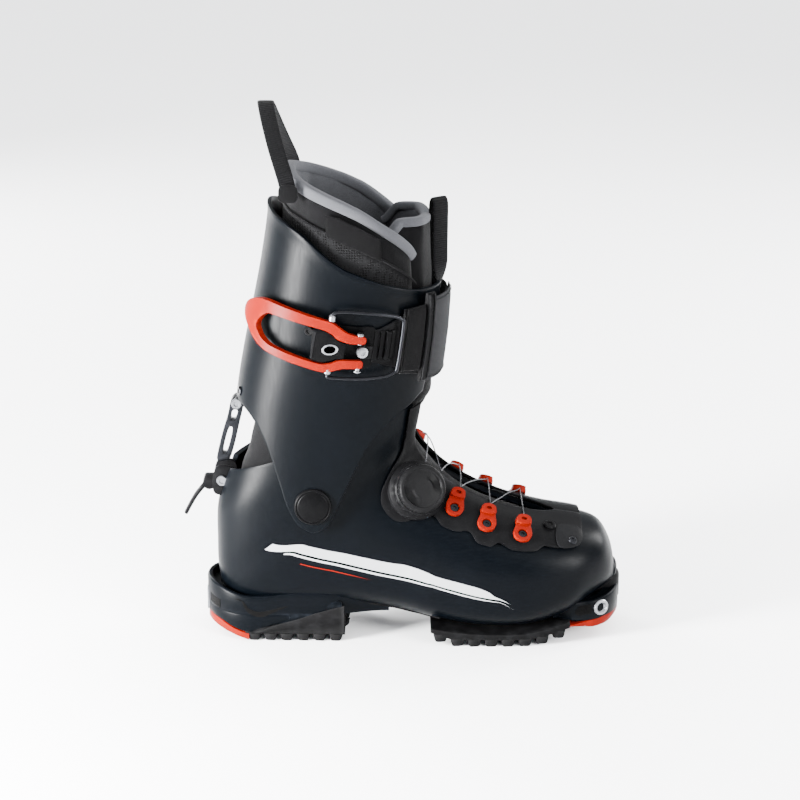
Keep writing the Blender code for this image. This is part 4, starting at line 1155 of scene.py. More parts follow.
def make_sole():
    """Rubber heel and forefoot with their lugs, and the two orange tips."""
    tread = 4.4
    heel_sections = [(x, heel_half(x), tread, 11.9) for x in span(26.9, 96.0, 24)]
    pieces = [slab("heel_body", heel_sections, RUBBER)]
    for k in range(6):
        x = 33.5 + 11.3 * k
        for side in (-1, 1):
            edge = side * (heel_half(x) - 6.6)
            pieces.append(lug((x, edge), 6.6, 10.6, 0.0, tread + 1.0, side * 0.12))
            if k in (1, 2, 4, 5):
                pieces.append(lug((x + 3.0, side * 9.5), 5.4, 11.0, 0.6, tread + 1.0, side * 0.5))
    done(combine("sole_heel", pieces), "shell", ["outsole_heel"], 40)

    fore_sections = [(x, half, low + tread, top + 0.3) for x, half, low, top in resampled(FOREFOOT, 40)]
    pieces = [slab("forefoot_body", fore_sections, RUBBER)]
    for k in range(8):
        x = 161.5 + 11.6 * k
        low = forefoot_low(x)
        top = low + tread + 1.4
        for side in (-1, 1):
            edge = side * (forefoot_half(x) - 7.0)
            pieces.append(lug((x, edge), 7.0, 11.5, low, top, -side * 0.1))
            pieces.append(lug((x + 4.0, side * 21.0), 5.8, 9.5, low + 0.5, top, side * 0.6))
        pieces.append(lug((x - 1.0, 0.0), 5.8, 10.0, low + 0.5, top, 0.0))
    done(combine("sole_forefoot", pieces), "shell", ["outsole_forefoot"], 40)

    make_rand()

    heel_tip = [(x, heel_half(x) + 0.1, 8.6 - 8.2 * x / 28.0, heel_low(x) + 0.3)
                for x in span(0.35, 29.5, 20)]
    done(slab("sole_heel_tip", heel_tip, ORANGE), "shell", ["heel_plate"], 40)
    toe_tip = [(x, toe_half(x) + 0.3, profile(TOE_TIP_LOW, x), profile(TOE_TIP_HIGH, x))
               for x in span(251.3, 286.2, 24)]
    done(slab("sole_toe_tip", toe_tip, ORANGE), "shell", ["toe_plate"], 40)


def make_inserts():
    """Metal sockets at the toe and the fitting in the heel."""
    for side, label in ((-1, "lateral"), (1, "medial")):
        socket = turned(f"toe_socket_{label}", placed((271.9, side * 28.8, 23.8), (0.50, side, 0)), [
            (5.6, 0.0), (5.6, 2.2), (5.2, 2.8), (3.7, 2.8), (3.4, 2.2), (1.0, 0.4), (0.05, 0.3)], STEEL, 40)
        done(socket, "shell", [f"toe_insert_{label}"])
    outline = smooth_loop([(-9.2, 14.4), (-9.4, 22.0), (-9.2, 30.2), (0.0, 30.5), (9.2, 30.2), (9.4, 22.0),
                           (9.2, 14.4), (0.0, 14.0)], 6)
    place = Matrix(((0, 0, -1, 0.4), (-1, 0, 0, 0), (0, 1, 0, 0), (0, 0, 0, 1)))
    slots = [circle((-5.0, 22.3), 1.8, 20), circle((5.0, 22.3), 1.8, 20)]
    heel = plate("heel_fitting", [outline, *slots], 2.0, place, STEEL, 0.4)
    done(heel, "shell", ["heel_insert"])


# Liner and gaiter -----------------------------------------------------------------------------

SEAM_DROP = 21.0


def rim_height(x):
    """Height of the cuff's rim, which falls from back to front."""
    return 304.0 - (x - 37.0) * 0.44


def swell(place):
    """How far the collar's padding may push out: little in the cuff and at the bound rim."""
    below = collar_top(angle_of(place)) - place.z
    return 0.7 if place.z < rim_height(place.x) else 0.3 + 1.3 * ease(below, 3.0, 9.0)


def make_collar():
    """Padded collar of the liner: knit above, mesh in the cuff, felt inside."""
    rows = []
    for t in span(0.0, 1.0, 30):
        rows.append([
            cuff_point(a, lerp(round_profile(LINER_BASES, a), collar_top(a), t),
                       liner_lift(a) - 0.9 - 1.6 * t ** 6)
            for a in span(37.0, 323.0, 97)
        ])
    collar = sheet("liner_collar", rows, BLACK_KNIT, INSIDE_CUFF, 5.6, 1.6)
    inflate(collar, swell)
    paint(collar, collar_top, lower=MESH)
    done(collar, "cuff", ["liner_cuff"], 60)


def make_tongue():
    """Padded tongue; its wings lie inside the collar."""
    rows = []
    for t in span(0.0, 1.0, 26):
        half = 31.0 + 31.0 * ease(t, 0.30, 0.62)
        rows.append([cuff_point(a, lerp(188.0, tongue_top(a), t), tongue_lift(a) - 1.0 * t ** 5)
                     for a in span(-half, half, 49)])
    tongue = sheet("tongue", rows, BLACK_KNIT, INSIDE_CUFF, 5.2, 1.6)
    inflate(tongue, lambda place: 1.2 if 252.0 < place.z < 284.0 else 0.3)
    paint(tongue, tongue_top)
    done(tongue, "cuff", ["liner_tongue"], 60)


def make_liner_foot():
    """Foot of the liner, open over the instep and flat on the boot board."""
    rows = []
    for u in [*span(1.6, OPENING_START, 14), *span(3.9, 14.0, 50)]:
        edge = shell_edge(u) + 14.0 if u > OPENING_START else 0.0
        row = []
        for angle in span(edge, 360.0 - edge, 65):
            point = foot_skin(u, angle, -5.8)
            point.z = max(point.z, BOARD_TOP + 0.5)
            row.append(point)
        rows.append(row)
    foot = sheet("liner_foot_bed", rows, BLACK_KNIT, (130.0, 0.0, 60.0), 4.6, 1.2, joint=0.05)
    done(foot, "shell", ["liner_foot"], 60)


def make_liner_ankle():
    """Sleeve that joins the liner's foot to its collar."""
    rows = []
    for t in span(0.0, 1.0, 24):
        row = []
        for angle in span(44.0, 316.0, 73):
            low = foot_skin(13.2, angle, -6.4)
            high = cuff_point(angle, round_profile(LINER_BASES, angle) + 12.0, liner_lift(angle) - 2.6)
            crease = 0.5 * sin(t * 26.0) * (1.0 - abs(2.0 * t - 1.0))
            point = low.lerp(high, t * t * (3.0 - 2.0 * t))
            point.z = lerp(low.z, high.z, t)
            inward = (Vector((92.0, 0.0, point.z)) - point).normalized()
            row.append(point + inward * (1.0 - crease))
        rows.append(row)
    ankle = sheet("liner_ankle", rows, BLACK_KNIT, (92.0, 0.0, 150.0), 3.6, 1.0)
    done(ankle, None, sharp=60)
    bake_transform(ankle)


def paint(item, top, lower=BLACK_KNIT):
    """Knit outside a padded piece, felt on its inner faces, and another surface low down outside."""
    mesh = item.data
    mesh.materials.clear()
    for surface in (BLACK_KNIT, FELT, lower):
        mesh.materials.append(surface)
    for face in mesh.polygons:
        place = face.center / MM - SHIFT
        if face.normal.dot(Vector(radial(place)).normalized()) < 0.1:
            face.material_index = 1
        elif place.z < top(angle_of(place)) - SEAM_DROP:
            face.material_index = 2


def radial(place):
    """Direction away from the leg."""
    return (place.x - LEG_X, place.y, 0.0)


def angle_of(place):
    """Angle of a place round the leg, 0 in front and positive on the outer side."""
    return degrees(atan2(-place.y, place.x - LEG_X))


def collar_top(angle):
    """Height of the collar's upper edge."""
    return round_profile(LINER_TOPS, angle)


def tongue_top(angle):
    """The tongue's upper edge is level in front and rounded down at its two wings."""
    return 293.5 - 10.0 * ease(abs(angle), 42.0, 64.0) + 2.0 * sin(radians(3.0 * abs(angle)))


def tongue_lift(angle):
    """The tongue's wings go in behind the collar."""
    return -CUFF_WALL - 3.0 - 7.2 * ease(abs(angle), 26.0, 44.0)


def make_liner_trim():
    """Felt bindings over the rims, the seam above the mesh, and a plain sewn patch."""
    rim = [cuff_point(a, collar_top(a) - 1.8, liner_lift(a) - 4.6) for a in span(38.5, 321.5, 141)]
    done(ribbon("liner_rim_binding", rim, 7.6, 7.4, radial, RIM_FELT), "cuff", sharp=60)
    rim = [cuff_point(a, tongue_top(a) - 1.4, tongue_lift(a) - 4.0) for a in span(-62.0, 62.0, 81)]
    done(ribbon("tongue_rim_binding", rim, 6.6, 6.0, radial, RIM_FELT), "cuff", sharp=60)
    seam = [cuff_point(a, collar_top(a) - SEAM_DROP, liner_lift(a) + 0.3) for a in span(40.0, 320.0, 121)]
    done(tube("liner_seam", seam, 0.8, BLACK_KNIT, 8), "cuff")
    outline = [(70, 272.5), (106, 290.5), (108, 304), (98, 302), (72, 287.5)]
    tab = wrapped("liner_tab", [outline], liner_outside, 0.5, 1.4, TAB, 3.0, 0.3)
    done(tab, "cuff")


def liner_outside(angle, z, lift):
    """Skin of the liner, for pieces sewn on it."""
    return cuff_point(angle, z, liner_lift(angle) + lift)


def make_gaiter():
    """Stretch fabric under the overlay that bulges out above the instep and goes up under the cuff."""
    rows = []
    for u in span(4.0, 14.2, 46):
        reach = shell_edge(u) + 6.0
        bulge = 4.6 * ease(u, 9.5, 14.2) + 0.5 * sin(1.9 * u)
        rows.append([foot_skin(u, angle, -5.0 + bulge * cos(pi / 2 * angle / reach))
                     for angle in span(-reach, reach, 33)])
    last = rows[-1]
    for t in span(0.0, 1.0, 20)[1:]:
        row = []
        for start, angle in zip(last, span(-36.0, 36.0, 33)):
            end = cuff_point(angle, 214.0, -CUFF_WALL - 1.2)
            fullness = (5.5 * sin(pi * t) ** 0.8 + 0.9 * sin(t * 15.0)) * (1.0 - t)
            point = start.lerp(end, t)
            away = Vector((point.x - 95.0, point.y, 0.0)).normalized()
            row.append(point + away * fullness * cos(pi / 2 * angle / 36.0))
        rows.append(row)
    gaiter = sheet("gaiter_cloth", rows, GAITER, (120.0, 0.0, 90.0), 0.9, 0.25)
    done(gaiter, None, ["gaiter"], 60)
    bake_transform(gaiter)


# Cuff -----------------------------------------------------------------------------------------

def make_cuff():
    """Cuff with its front gap, rounded lower edge and the recess behind the buckle."""
    rows = []
    half = [*span(24.5, 72.0, 22), *span(73.5, 120.0, 36), *span(122.5, 180.0, 24)]
    angles = [*half, *[360.0 - a for a in reversed(half[:-1])]]
    for t in span(0.0, 1.0, 44):
        row = []
        for angle in angles:
            closing = 18.5 * t * max(1.0 - (min(angle, 360.0 - angle) - 24.5) / 40.0, 0.0)
            at = angle - closing if angle < 180 else angle + closing
            z = lerp(round_profile(CUFF_BASES, angle), round_profile(CUFF_TOPS, at), t)
            recess = bump(at, 100, 106, 132, 138) * bump(z, 213, 218, 236, 241)
            rim = 0.8 * ease(t, 0.955, 1.0)
            row.append(cuff_point(at, z, rim - 0.9 * recess))
        rows.append(row)
    cuff = sheet("cuff_shell", rows, NAVY_CUFF, INSIDE_CUFF, CUFF_WALL, 0.9)
    done(cuff, "cuff", ["cuff"])


def make_cuff_fittings():
    """Pivot caps, screws and a stud."""
    cap = [(12.8, -0.5), (12.8, 0.6), (12.4, 1.3), (11.6, 1.7), (11.2, 1.3), (10.8, 1.3), (10.4, 1.8),
           (9.8, 2.1),
           (0.05, 2.3)]
    for side, label in ((-1, "lateral"), (1, "medial")):
        place = placed((ANKLE[0], side * 47.9, ANKLE[2]), (0, side, 0))
        pivot = turned(f"pivot_cap_{label}", place, cap, SATIN_BLACK, 56)
        done(pivot, "shell", [f"pivot_rivet_{label}"])
    spots = (
        ("cuff_screw_outer", 163.0, 175.5, 3.4, DARK_STEEL),
        ("cuff_screw_inner", 197.0, 175.5, 3.4, DARK_STEEL),
        ("cuff_stud", 108.4, 226.6, 3.1, SATIN_BLACK),
    )
    for name, angle, z, radius, surface in spots:
        head = turned(name, on_skin(cuff_point, angle, z, -0.9), [
            (radius, -0.4), (radius, 1.5), (radius * 0.86, 2.0), (radius * 0.5, 2.0),
            (radius * 0.42, 1.2), (0.05, 1.2),
        ], surface, 28)
        done(head, "cuff")


# Power strap ----------------------------------------------------------------------------------

def band(name, sections, low, high, surface):
    """Strap round the cuff through (angle, bottom, top) sections, with rounded edges."""
    rows, weave, run = [], [], 0.0
    for k, (angle, bottom, top) in enumerate(sections):
        if k:
            run += (cuff_point(angle, bottom) - cuff_point(sections[k - 1][0], bottom)).length
        row = []
        for a, b in section((top - bottom) / 2, (high - low) / 2, power=9.0):
            row.append(cuff_point(angle, (bottom + top) / 2 + a, (low + high) / 2 + b))
            weave.append((run, a))
        rows.append(row)
    return woven(name, rows, weave, surface)


def make_strap():
    """Power strap with its overlap, keeper, ladder and studs."""
    sections = []
    for angle in span(57.0, -82.0, 90):
        share = min((57.0 - angle) / 57.0, 1.0)
        sections.append((angle, lerp(196.5, 186.5, share), lerp(241.0, 245.0, share)))
    done(band("strap_band", sections, 3.2, 5.2, STRAP), "cuff", ["power_strap"])
    pad = [(angle, 198.5 - (56 - angle) * 0.12, 241 + (56 - angle) * 0.15)
           for angle in span(56.0, 43.2, 14)]
    done(band("strap_hook_tape", pad, 5.4, 7.5, HOOK_TAPE), "cuff", ["strap_pad"])
    bar = [(angle, 189.2, 250.4) for angle in span(42.4, 35.6, 10)]
    done(band("strap_keeper", bar, 5.4, 8.8, SATIN_BLACK), "cuff", ["strap_bar"])
    for k, angle in enumerate((41.3, 36.8)):
        rib = [(angle + d, 190.4, 249.2) for d in (0.55, 0.2, -0.2, -0.55)]
        done(band(f"keeper_rib_{k + 1}", rib, 8.3, 9.4, GREY_NYLON), "cuff")
    front = [(angle, 187.4 + 0.02 * angle, 246.0) for angle in span(35.0, -6.0, 36)]
    done(band("strap_overlap", front, 5.0, 6.9, STRAP_FACE), "cuff")
    for k, drop in enumerate((2.2, 2.2)):
        z = (front[0][2] - drop, front[0][1] + drop)[k]
        route = [cuff_point(angle, z, 7.0) for angle in span(34.0, -5.0, 60)]
        done(tube(f"strap_stitch_{k + 1}", route, 0.28, STRAP, 6), "cuff")
    low = ((45, 198), (56, 200), (66, 203), (73.5, 205))
    high = ((45, 238), (56, 236), (66, 231), (73.5, 228))
    ladder = [(angle, profile(low, angle), profile(high, angle)) for angle in span(73.5, 45.0, 30)]
    done(band("ladder_plate", ladder, 0.5, 2.6, BLACK), "cuff", ["strap_ladder"])
    for k, angle in enumerate((69.5, 66.2, 62.9)):
        rung = band(f"ladder_rung_{k + 1}", [(angle + d, 207.5, 227.5) for d in span(1.0, -1.0, 5)],
                    2.2, 6.4 if k == 1 else 4.4, SATIN_BLACK)
        done(rung, "cuff")
    for k, z in enumerate((204.0, 229.0)):
        head = turned(f"strap_stud_{k + 1}", on_skin(cuff_point, -74.0, z, 5.2), [
            (4.1, 0.0), (4.1, 0.7), (3.4, 1.5), (1.6, 1.9), (0.05, 1.9)], STEEL, 28)
        done(head, "cuff", [f"strap_rivet_{k + 1}"])


# Buckle ---------------------------------------------------------------------------------------

def axis_point(origin, z):
    """Point of the buckle's axis direction through origin at a height."""
    t = (z - origin[2]) / BUCKLE_AXIS[2]
    return tuple(o + t * a for o, a in zip(origin, BUCKLE_AXIS))


def pin_place(origin, z):
    """Placement on an axis of the buckle, +Z towards the nearer end of the lever's fork."""
    sign = 1 if z > 217 else -1
    return placed(axis_point(origin, z), [sign * a for a in BUCKLE_AXIS], (1.0, 0.1, 0.0))


def make_lever():
    """Forked lever of the buckle, with the web between its arms."""
    outer = [
        (79.2, 224.6), (84.0, 225.6), (88.6, 227.6), (92.0, 232.0), (95.6, 235.4), (104.0, 238.0),
        (115.0, 241.4),
        (126.0, 244.2), (134.2, 246.0), (143.0, 246.4), (150.5, 244.8), (156.5, 241.2), (158.6, 236.6),
        (156.0, 231.0),
        (149.0, 225.2), (142.6, 220.2), (136.0, 215.4), (129.2, 212.0), (118.0, 208.2), (107.0, 204.6),
        (96.4, 200.8),
        (92.6, 201.2), (88.8, 203.4), (84.0, 203.2), (79.2, 203.0),
    ]
    inner = [
        (79.2, 208.4), (84.0, 208.6), (89.4, 209.2), (93.4, 206.8), (97.0, 206.0), (107.0, 209.4),
        (118.0, 213.0),
        (130.0, 217.0), (136.6, 221.4), (142.0, 227.8), (140.6, 232.8), (134.4, 238.4), (124.0, 236.8),
        (112.0, 234.0),
        (98.6, 230.2), (94.6, 227.4), (91.4, 223.0), (87.0, 220.6), (79.2, 219.6),
    ]
    lever = wrapped("buckle_lever_frame", [rounded([*outer, *inner], 2)], cuff_point, 4.5, 8.6, ORANGE,
                    2.5, 0.9, 3)
    done(lever, "buckle_lever", ["buckle_lever"])
    inside = [(88.4, 210.0), (91.0, 210.0), (97.0, 207.4), (103.4, 209.4), (104.6, 229.8), (98.6, 229.4),
              (94.4, 226.2),
              (91.0, 221.8), (88.4, 220.2)]
    eye = (94.5, 216.4)
    web = wrapped("buckle_lever_web", [inside, circle(eye, 3.3, 24)], cuff_point, 5.0, 7.6, SATIN_BLACK,
                  3.0, 0.4)
    done(web, "buckle_lever")
    ring = wrapped("buckle_ring", [circle(eye, 3.7, 32), circle(eye, 2.7, 32)], cuff_point, 7.4, 8.1,
                   STEEL, 9.0, 0.2)
    done(ring, "buckle_lever")
    ridge = [(103.0 + d, 210.6, 228.4) for d in (0.5, 0.2, -0.2, -0.5)]
    done(band("buckle_web_ridge", ridge, 7.2, 8.0, GREY_NYLON), "buckle_lever")


def make_buckle_base():
    """Foot of the buckle on the cuff, its hinge pins and its screw."""
    outline = [(75.2, 209.8), (75.2, 218.4), (78.8, 218.4), (78.8, 209.8)]
    base = wrapped("buckle_foot", [outline], cuff_point, 0.4, 8.0, BLACK, 3.0, 0.6)
    done(base, "cuff", ["buckle_base"])
    outline = smooth_loop([(73.0, 203.4), (73.0, 227.6), (84.0, 230.4), (100.0, 231.6), (104.0, 220.0),
                           (100.0, 205.6), (84.0, 201.8)])
    base = wrapped("buckle_underplate", [outline], cuff_point, 0.2, 1.9, SATIN_BLACK, 3.0, 0.5)
    done(base, "cuff")
    pin = [(1.5, -6.0), (1.5, 0.4), (2.5, 0.4), (2.5, 1.0), (1.9, 1.8), (0.8, 2.1), (0.05, 2.1)]
    for name, z, nodes in (("hinge_pin_upper", 225.4, ["buckle_pin"]), ("hinge_pin_lower", 201.6, ())):
        done(turned(name, pin_place(BUCKLE_HINGE, z), pin, STEEL, 28), "cuff", nodes)
    bolt = turned("buckle_screw", on_skin(cuff_point, 80.2, 214.4, 7.0), [
        (3.9, 0.0), (3.9, 1.6), (3.5, 2.4), (2.4, 2.7), (1.9, 2.7), (1.7, 1.9), (0.05, 1.8)], STEEL, 36)
    done(bolt, "cuff", ["buckle_bolt"])


def make_bail():
    """Wire from the lever round the ladder in front, and its pins."""
    pin = [(1.6, -3.0), (2.3, -3.0), (2.3, 0.0), (1.6, 0.9), (0.05, 1.1)]
    for name, z in (("bail_pin_upper", 239.2), ("bail_pin_lower", 199.8)):
        done(turned(name, pin_place(BAIL_HINGE, z), pin, STEEL, 24), "buckle_lever")
    lift = 6.6
    stops = [
        axis_point(BAIL_HINGE, 236.0), axis_point(BAIL_HINGE, 240.4),
        tuple(cuff_point(91.0, 242.0, lift)), tuple(cuff_point(78.0, 240.5, lift)),
        tuple(cuff_point(66.0, 238.0, lift)), tuple(cuff_point(60.5, 235.5, lift + 0.4)),
        tuple(cuff_point(59.0, 231.0, lift + 0.8)), tuple(cuff_point(59.3, 203.0, lift + 0.8)),
        tuple(cuff_point(61.0, 198.5, lift + 0.4)), tuple(cuff_point(67.0, 196.0, lift)),
        tuple(cuff_point(79.0, 195.5, lift)), tuple(cuff_point(92.0, 196.5, lift)),
        axis_point(BAIL_HINGE, 198.2), axis_point(BAIL_HINGE, 203.0),
    ]
    done(tube("bail_wire", route_through(stops, 90), 1.2, DARK_STEEL, 12), "buckle_bail",
         ["buckle_bail"])


def rounded(points, passes):
    """Cut the corners of a closed outline, keeping its shape."""
    for _ in range(passes):
        result = []
        for k, (x, y) in enumerate(points):
            nx, ny = points[(k + 1) % len(points)]
            result += [(x * 0.8 + nx * 0.2, y * 0.8 + ny * 0.2), (x * 0.2 + nx * 0.8, y * 0.2 + ny * 0.8)]
        points = result
    return points


# Lean lock ------------------------------------------------------------------------------------

def make_lean_bar():
    """Slotted bar behind the ankle and the two ears that hold it under the cuff."""
    outline = [
        (20.0, 167.4), (24.6, 167.6), (27.0, 164.6), (26.4, 158.0), (23.8, 148.0), (20.6, 134.0),
        (17.2, 123.0),
        (14.0, 121.4), (8.4, 121.4), (7.6, 124.0), (11.8, 141.0), (16.0, 154.0), (18.2, 164.6),
    ]
    slots = (
        [(19.4, 158.6), (23.4, 158.2), (21.2, 150.6), (17.8, 150.6)],
        [(16.6, 146.4), (19.8, 145.8), (15.0, 126.6), (11.4, 126.6)],
    )
    holes = [circle((BAR_PIVOT[0], BAR_PIVOT[2]), 2.35, 24), *[rounded(slot, 2) for slot in slots]]
    bar = plate("lean_lock_bar", [rounded(outline, 2), *holes], 8.0, plane_xz(0.0), DARK_STEEL, 0.7)
    done(bar, "lean_bar", ["lean_bar"])
    ear = [(31.6, 179), (30.0, 179), (28.6, 169.2), (22.5, 168.6), (18.8, 164), (19.6, 159.8),
           (23.5, 158.6), (31.6, 164)]
    for k, y in enumerate((-5.6, 5.6)):
        piece = plate(f"hanger_ear_{k + 1}", [rounded(ear, 2)], 1.6, plane_xz(y), DARK_STEEL, 0.3)
        done(piece, "cuff", ["bar_hanger"] if k == 0 else ())


def make_lock_screws():
    """Screw heads at both ends of the bar's and the bracket's pivots."""
    outline = [(3.7, 0.0), (3.7, 1.2), (3.2, 1.8), (1.9, 1.8), (1.6, 1.0), (0.05, 1.0)]
    for name, centre, reach, body in (
            ("bar_screw", BAR_PIVOT, 6.6, "cuff"), ("bracket_screw", BRACKET_PIVOT, 9.3, "shell")):
        for side, label in ((-1, "outer"), (1, "inner")):
            place = placed((centre[0], side * reach, centre[2]), (0, side, 0))
            screw = turned(f"{name}_{label}", place, outline, STEEL, 32)
            done(screw, body, [name] if side < 0 else ())


def make_lock_bracket():
    """Bracket on the shell with the release lever and its webbing tab."""
    cheek = [(5.0, 98.2), (21.0, 98.2), (21.0, 115.0), (17.0, 119.5), (7.5, 119.5), (5.0, 112.0)]
    for k, y in enumerate((-8.1, 8.1)):
        piece = plate(f"bracket_cheek_{k + 1}", [rounded(cheek, 2)], 2.2, plane_xz(y), BLACK, 0.5)
        done(piece, "shell", ["lock_bracket"] if k == 0 else ())
    floor = rounded([(6.0, 98.4), (20.8, 98.4), (20.8, 100.6), (6.0, 100.6)], 1)
    done(plate("bracket_base", [floor], 16.0, plane_xz(0.0), BLACK, 0.4), "shell")
    lever = [
        (13.9, 107.0), (14.6, 109.6), (13.0, 112.0), (10.4, 112.4), (8.2, 110.6), (5.0, 109.6),
        (-0.8, 109.4),
        (-2.0, 106.0), (-0.6, 102.6), (3.6, 101.6), (9.6, 105.9),
    ]
    piece = plate("lock_release_lever", [smooth_loop(lever, 5)], 12.6, plane_xz(0.0), BLACK, 0.9, 3)
    done(piece, "lock_lever", ["lock_lever"])
    tab = route_through([(-2.2, 0, 102.3), (-4.5, 0, 99.4), (-7.4, 0, 95.4), (-11.0, 0, 89.5),
                         (-14.6, 0, 82.9)], 28)
    strap = ribbon("pull_tab_webbing", tab, 9.4, 2.6, lambda place: (0, 1, 0), STRAP, 0.4)
    done(strap, "lock_lever", ["pull_tab"])


# Dial, guides and cable -----------------------------------------------------------------------

# Radius and height of the dial's outer side, from its skirt over the knurled edge to its face.
DIAL_SIDE = (
    (10.0, 10.9), (15.4, 11.0), (16.3, 11.7), (16.6, 13.0), (16.6, 15.2), (16.2, 16.4), (15.4, 17.3),
    (14.4, 17.8), (13.4, 17.9), (12.9, 17.5), (12.2, 17.5), (11.0, 17.7), (9.6, 17.9), (8.0, 18.0),
    (6.6, 18.1), (5.0, 18.1), (2.5, 18.1), (0.05, 18.1),
)


def make_dial():
    """Toothed housing and knurled dial with two dents for the fingers."""
    place = on_skin(foot_skin, *DIAL_PLACE, 0.0)

    def teeth(a, row):
        return 1.0 + (0.025 if row in (3, 4) and sin(18 * a) > 0 else 0.0)

    housing = turned("dial_housing", place, [
        (20.4, 1.0), (20.0, 4.6), (18.2, 6.2), (17.4, 6.6), (17.4, 9.2), (16.4, 10.4), (9.0, 10.4),
        (9.0, 8.0), (0.05, 8.0),
    ], BLACK, 108, teeth)
    done(housing, "shell", ["dial_base"])
    rows = []
    for radius, height in DIAL_SIDE:
        row = []
        for a in full_turn(144):
            knurl = 0.22 * max(sin(36 * a), 0.0) if 11.5 < height < 16.8 and radius > 15.5 else 0.0
            grip = max(cos(a - 0.5), 0.0) ** 6 + max(-cos(a - 0.5), 0.0) ** 6
            dent = 1.5 * grip * bump(radius, 6.2, 8.2, 12.0, 12.9)
            reach = radius - knurl
            row.append(place @ Vector((reach * cos(a), reach * sin(a), height - dent)))
        rows.append(row)
    done(closed("dial_cap", rows, DIAL_FACE), "dial_knob", ["dial_knob"], 28)


def foot_placement(u, angle, lift):
    """Placement on the foot's surface, in millimetres: +Z outwards, +Y up over the instep."""
    origin = foot_skin(u, angle, lift)
    normal = (foot_skin(u, angle, lift + 1.0) - origin).normalized()
    upward = foot_point(u, angle - 2.0 if angle < 180 else angle + 2.0) - foot_point(u, angle)
    x = upward.cross(normal).normalized()
    return Matrix.Translation(origin) @ Matrix((x, normal.cross(x), normal)).transposed().to_4x4()


def make_guides():
    """Orange lace guides: a tag, a hood with its slot, and a stud."""
    tag = smooth_loop([
        (0.0, 10.4), (4.2, 9.0), (5.4, 5.6), (5.0, 2.6), (6.0, -1.6), (6.2, -5.2), (4.2, -8.8),
        (0.0, -10.2), (-4.2, -8.8), (-6.2, -5.2), (-6.0, -1.6), (-5.0, 2.6), (-5.4, 5.6), (-4.2, 9.0)], 4)
    hood = smooth_loop([
        (0.0, 10.0), (3.8, 8.8), (4.9, 5.8), (4.4, 3.2), (0.0, 2.4), (-4.4, 3.2), (-4.9, 5.8),
        (-3.8, 8.8)], 4)
    slot = rounded([(-1.8, 5.4), (1.8, 5.4), (1.8, 7.6), (-1.8, 7.6)], 2)
    for label, sign in (("lateral", 1), ("medial", -1)):
        for k, u in enumerate(GUIDE_ROWS if sign < 0 else GUIDE_ROWS[:3]):
            angle = GUIDE_ANGLE if sign > 0 else 360.0 - GUIDE_ANGLE
            place = foot_placement(u, angle, 0.0)
            number = k + 1
            base = plate(f"guide_tag_{label}_{number}", [tag, circle((0.0, -4.6), 3.3, 28)], 3.0,
                         place @ Matrix.Translation((0, 0, 5.2)), ORANGE, 0.7, 3)
            done(base, "shell", [f"lace_guide_{label}_{number}"])
            cap = plate(f"guide_hood_{label}_{number}", [hood, slot], 2.4,
                        place @ Matrix.Translation((0, 0, 7.4)), ORANGE, 0.8, 3)
            done(cap, "shell")
            stud = turned(f"guide_stud_{label}_{number}", place @ Matrix.Translation((0.0, -4.6, 3.4)), [
                (3.1, 0.0), (3.1, 1.5), (2.6, 2.2), (1.5, 2.2), (1.2, 1.4), (0.05, 1.4)], DARK_STEEL, 28)
            done(stud, "shell", [f"guide_rivet_{label}_{number}"])


CABLE_RADIUS = 0.42
CABLE_DIP = 4.4


def make_cable():
    """Steel cable from the dial, back and forth over the instep through the guides."""
    reach, lift = 26.0, 6.9
    one, two, three, four = GUIDE_ROWS
    stops = [
        (DIAL_PLACE[0] + 0.35, 27.0, lift), (four, -reach, lift), (one + 0.9, reach, lift),
        (one, -reach, lift),
        (one, reach, lift), (two, -reach, lift), (two, reach, lift), (three, -reach, lift),
        (three, reach, lift),
    ]
    route = []
    for first, last in zip(stops, stops[1:]):
        for t in span(0.0, 1.0, 17)[:-1]:
            u, angle, up = (lerp(a, b, t) for a, b in zip(first, last))
            route.append(foot_skin(u, angle, up - CABLE_DIP * sin(pi * t) ** 0.6))
    route.append(foot_skin(*stops[-1]))
    done(tube("closure_cable", route, CABLE_RADIUS, CABLE, 8), "shell", ["lace"], 80)
    spool, end = foot_skin(*DIAL_PLACE, 9.0), foot_skin(*stops[0])
    feed = [spool + (end - spool).normalized() * d for d in (8.0, 12.0, 16.0, 20.0)]
    feed = route_through([tuple(point) for point in (*feed, end)], 16)
    done(tube("cable_feed", feed, CABLE_RADIUS, CABLE, 8), "shell")


# Pull loops -----------------------------------------------------------------------------------

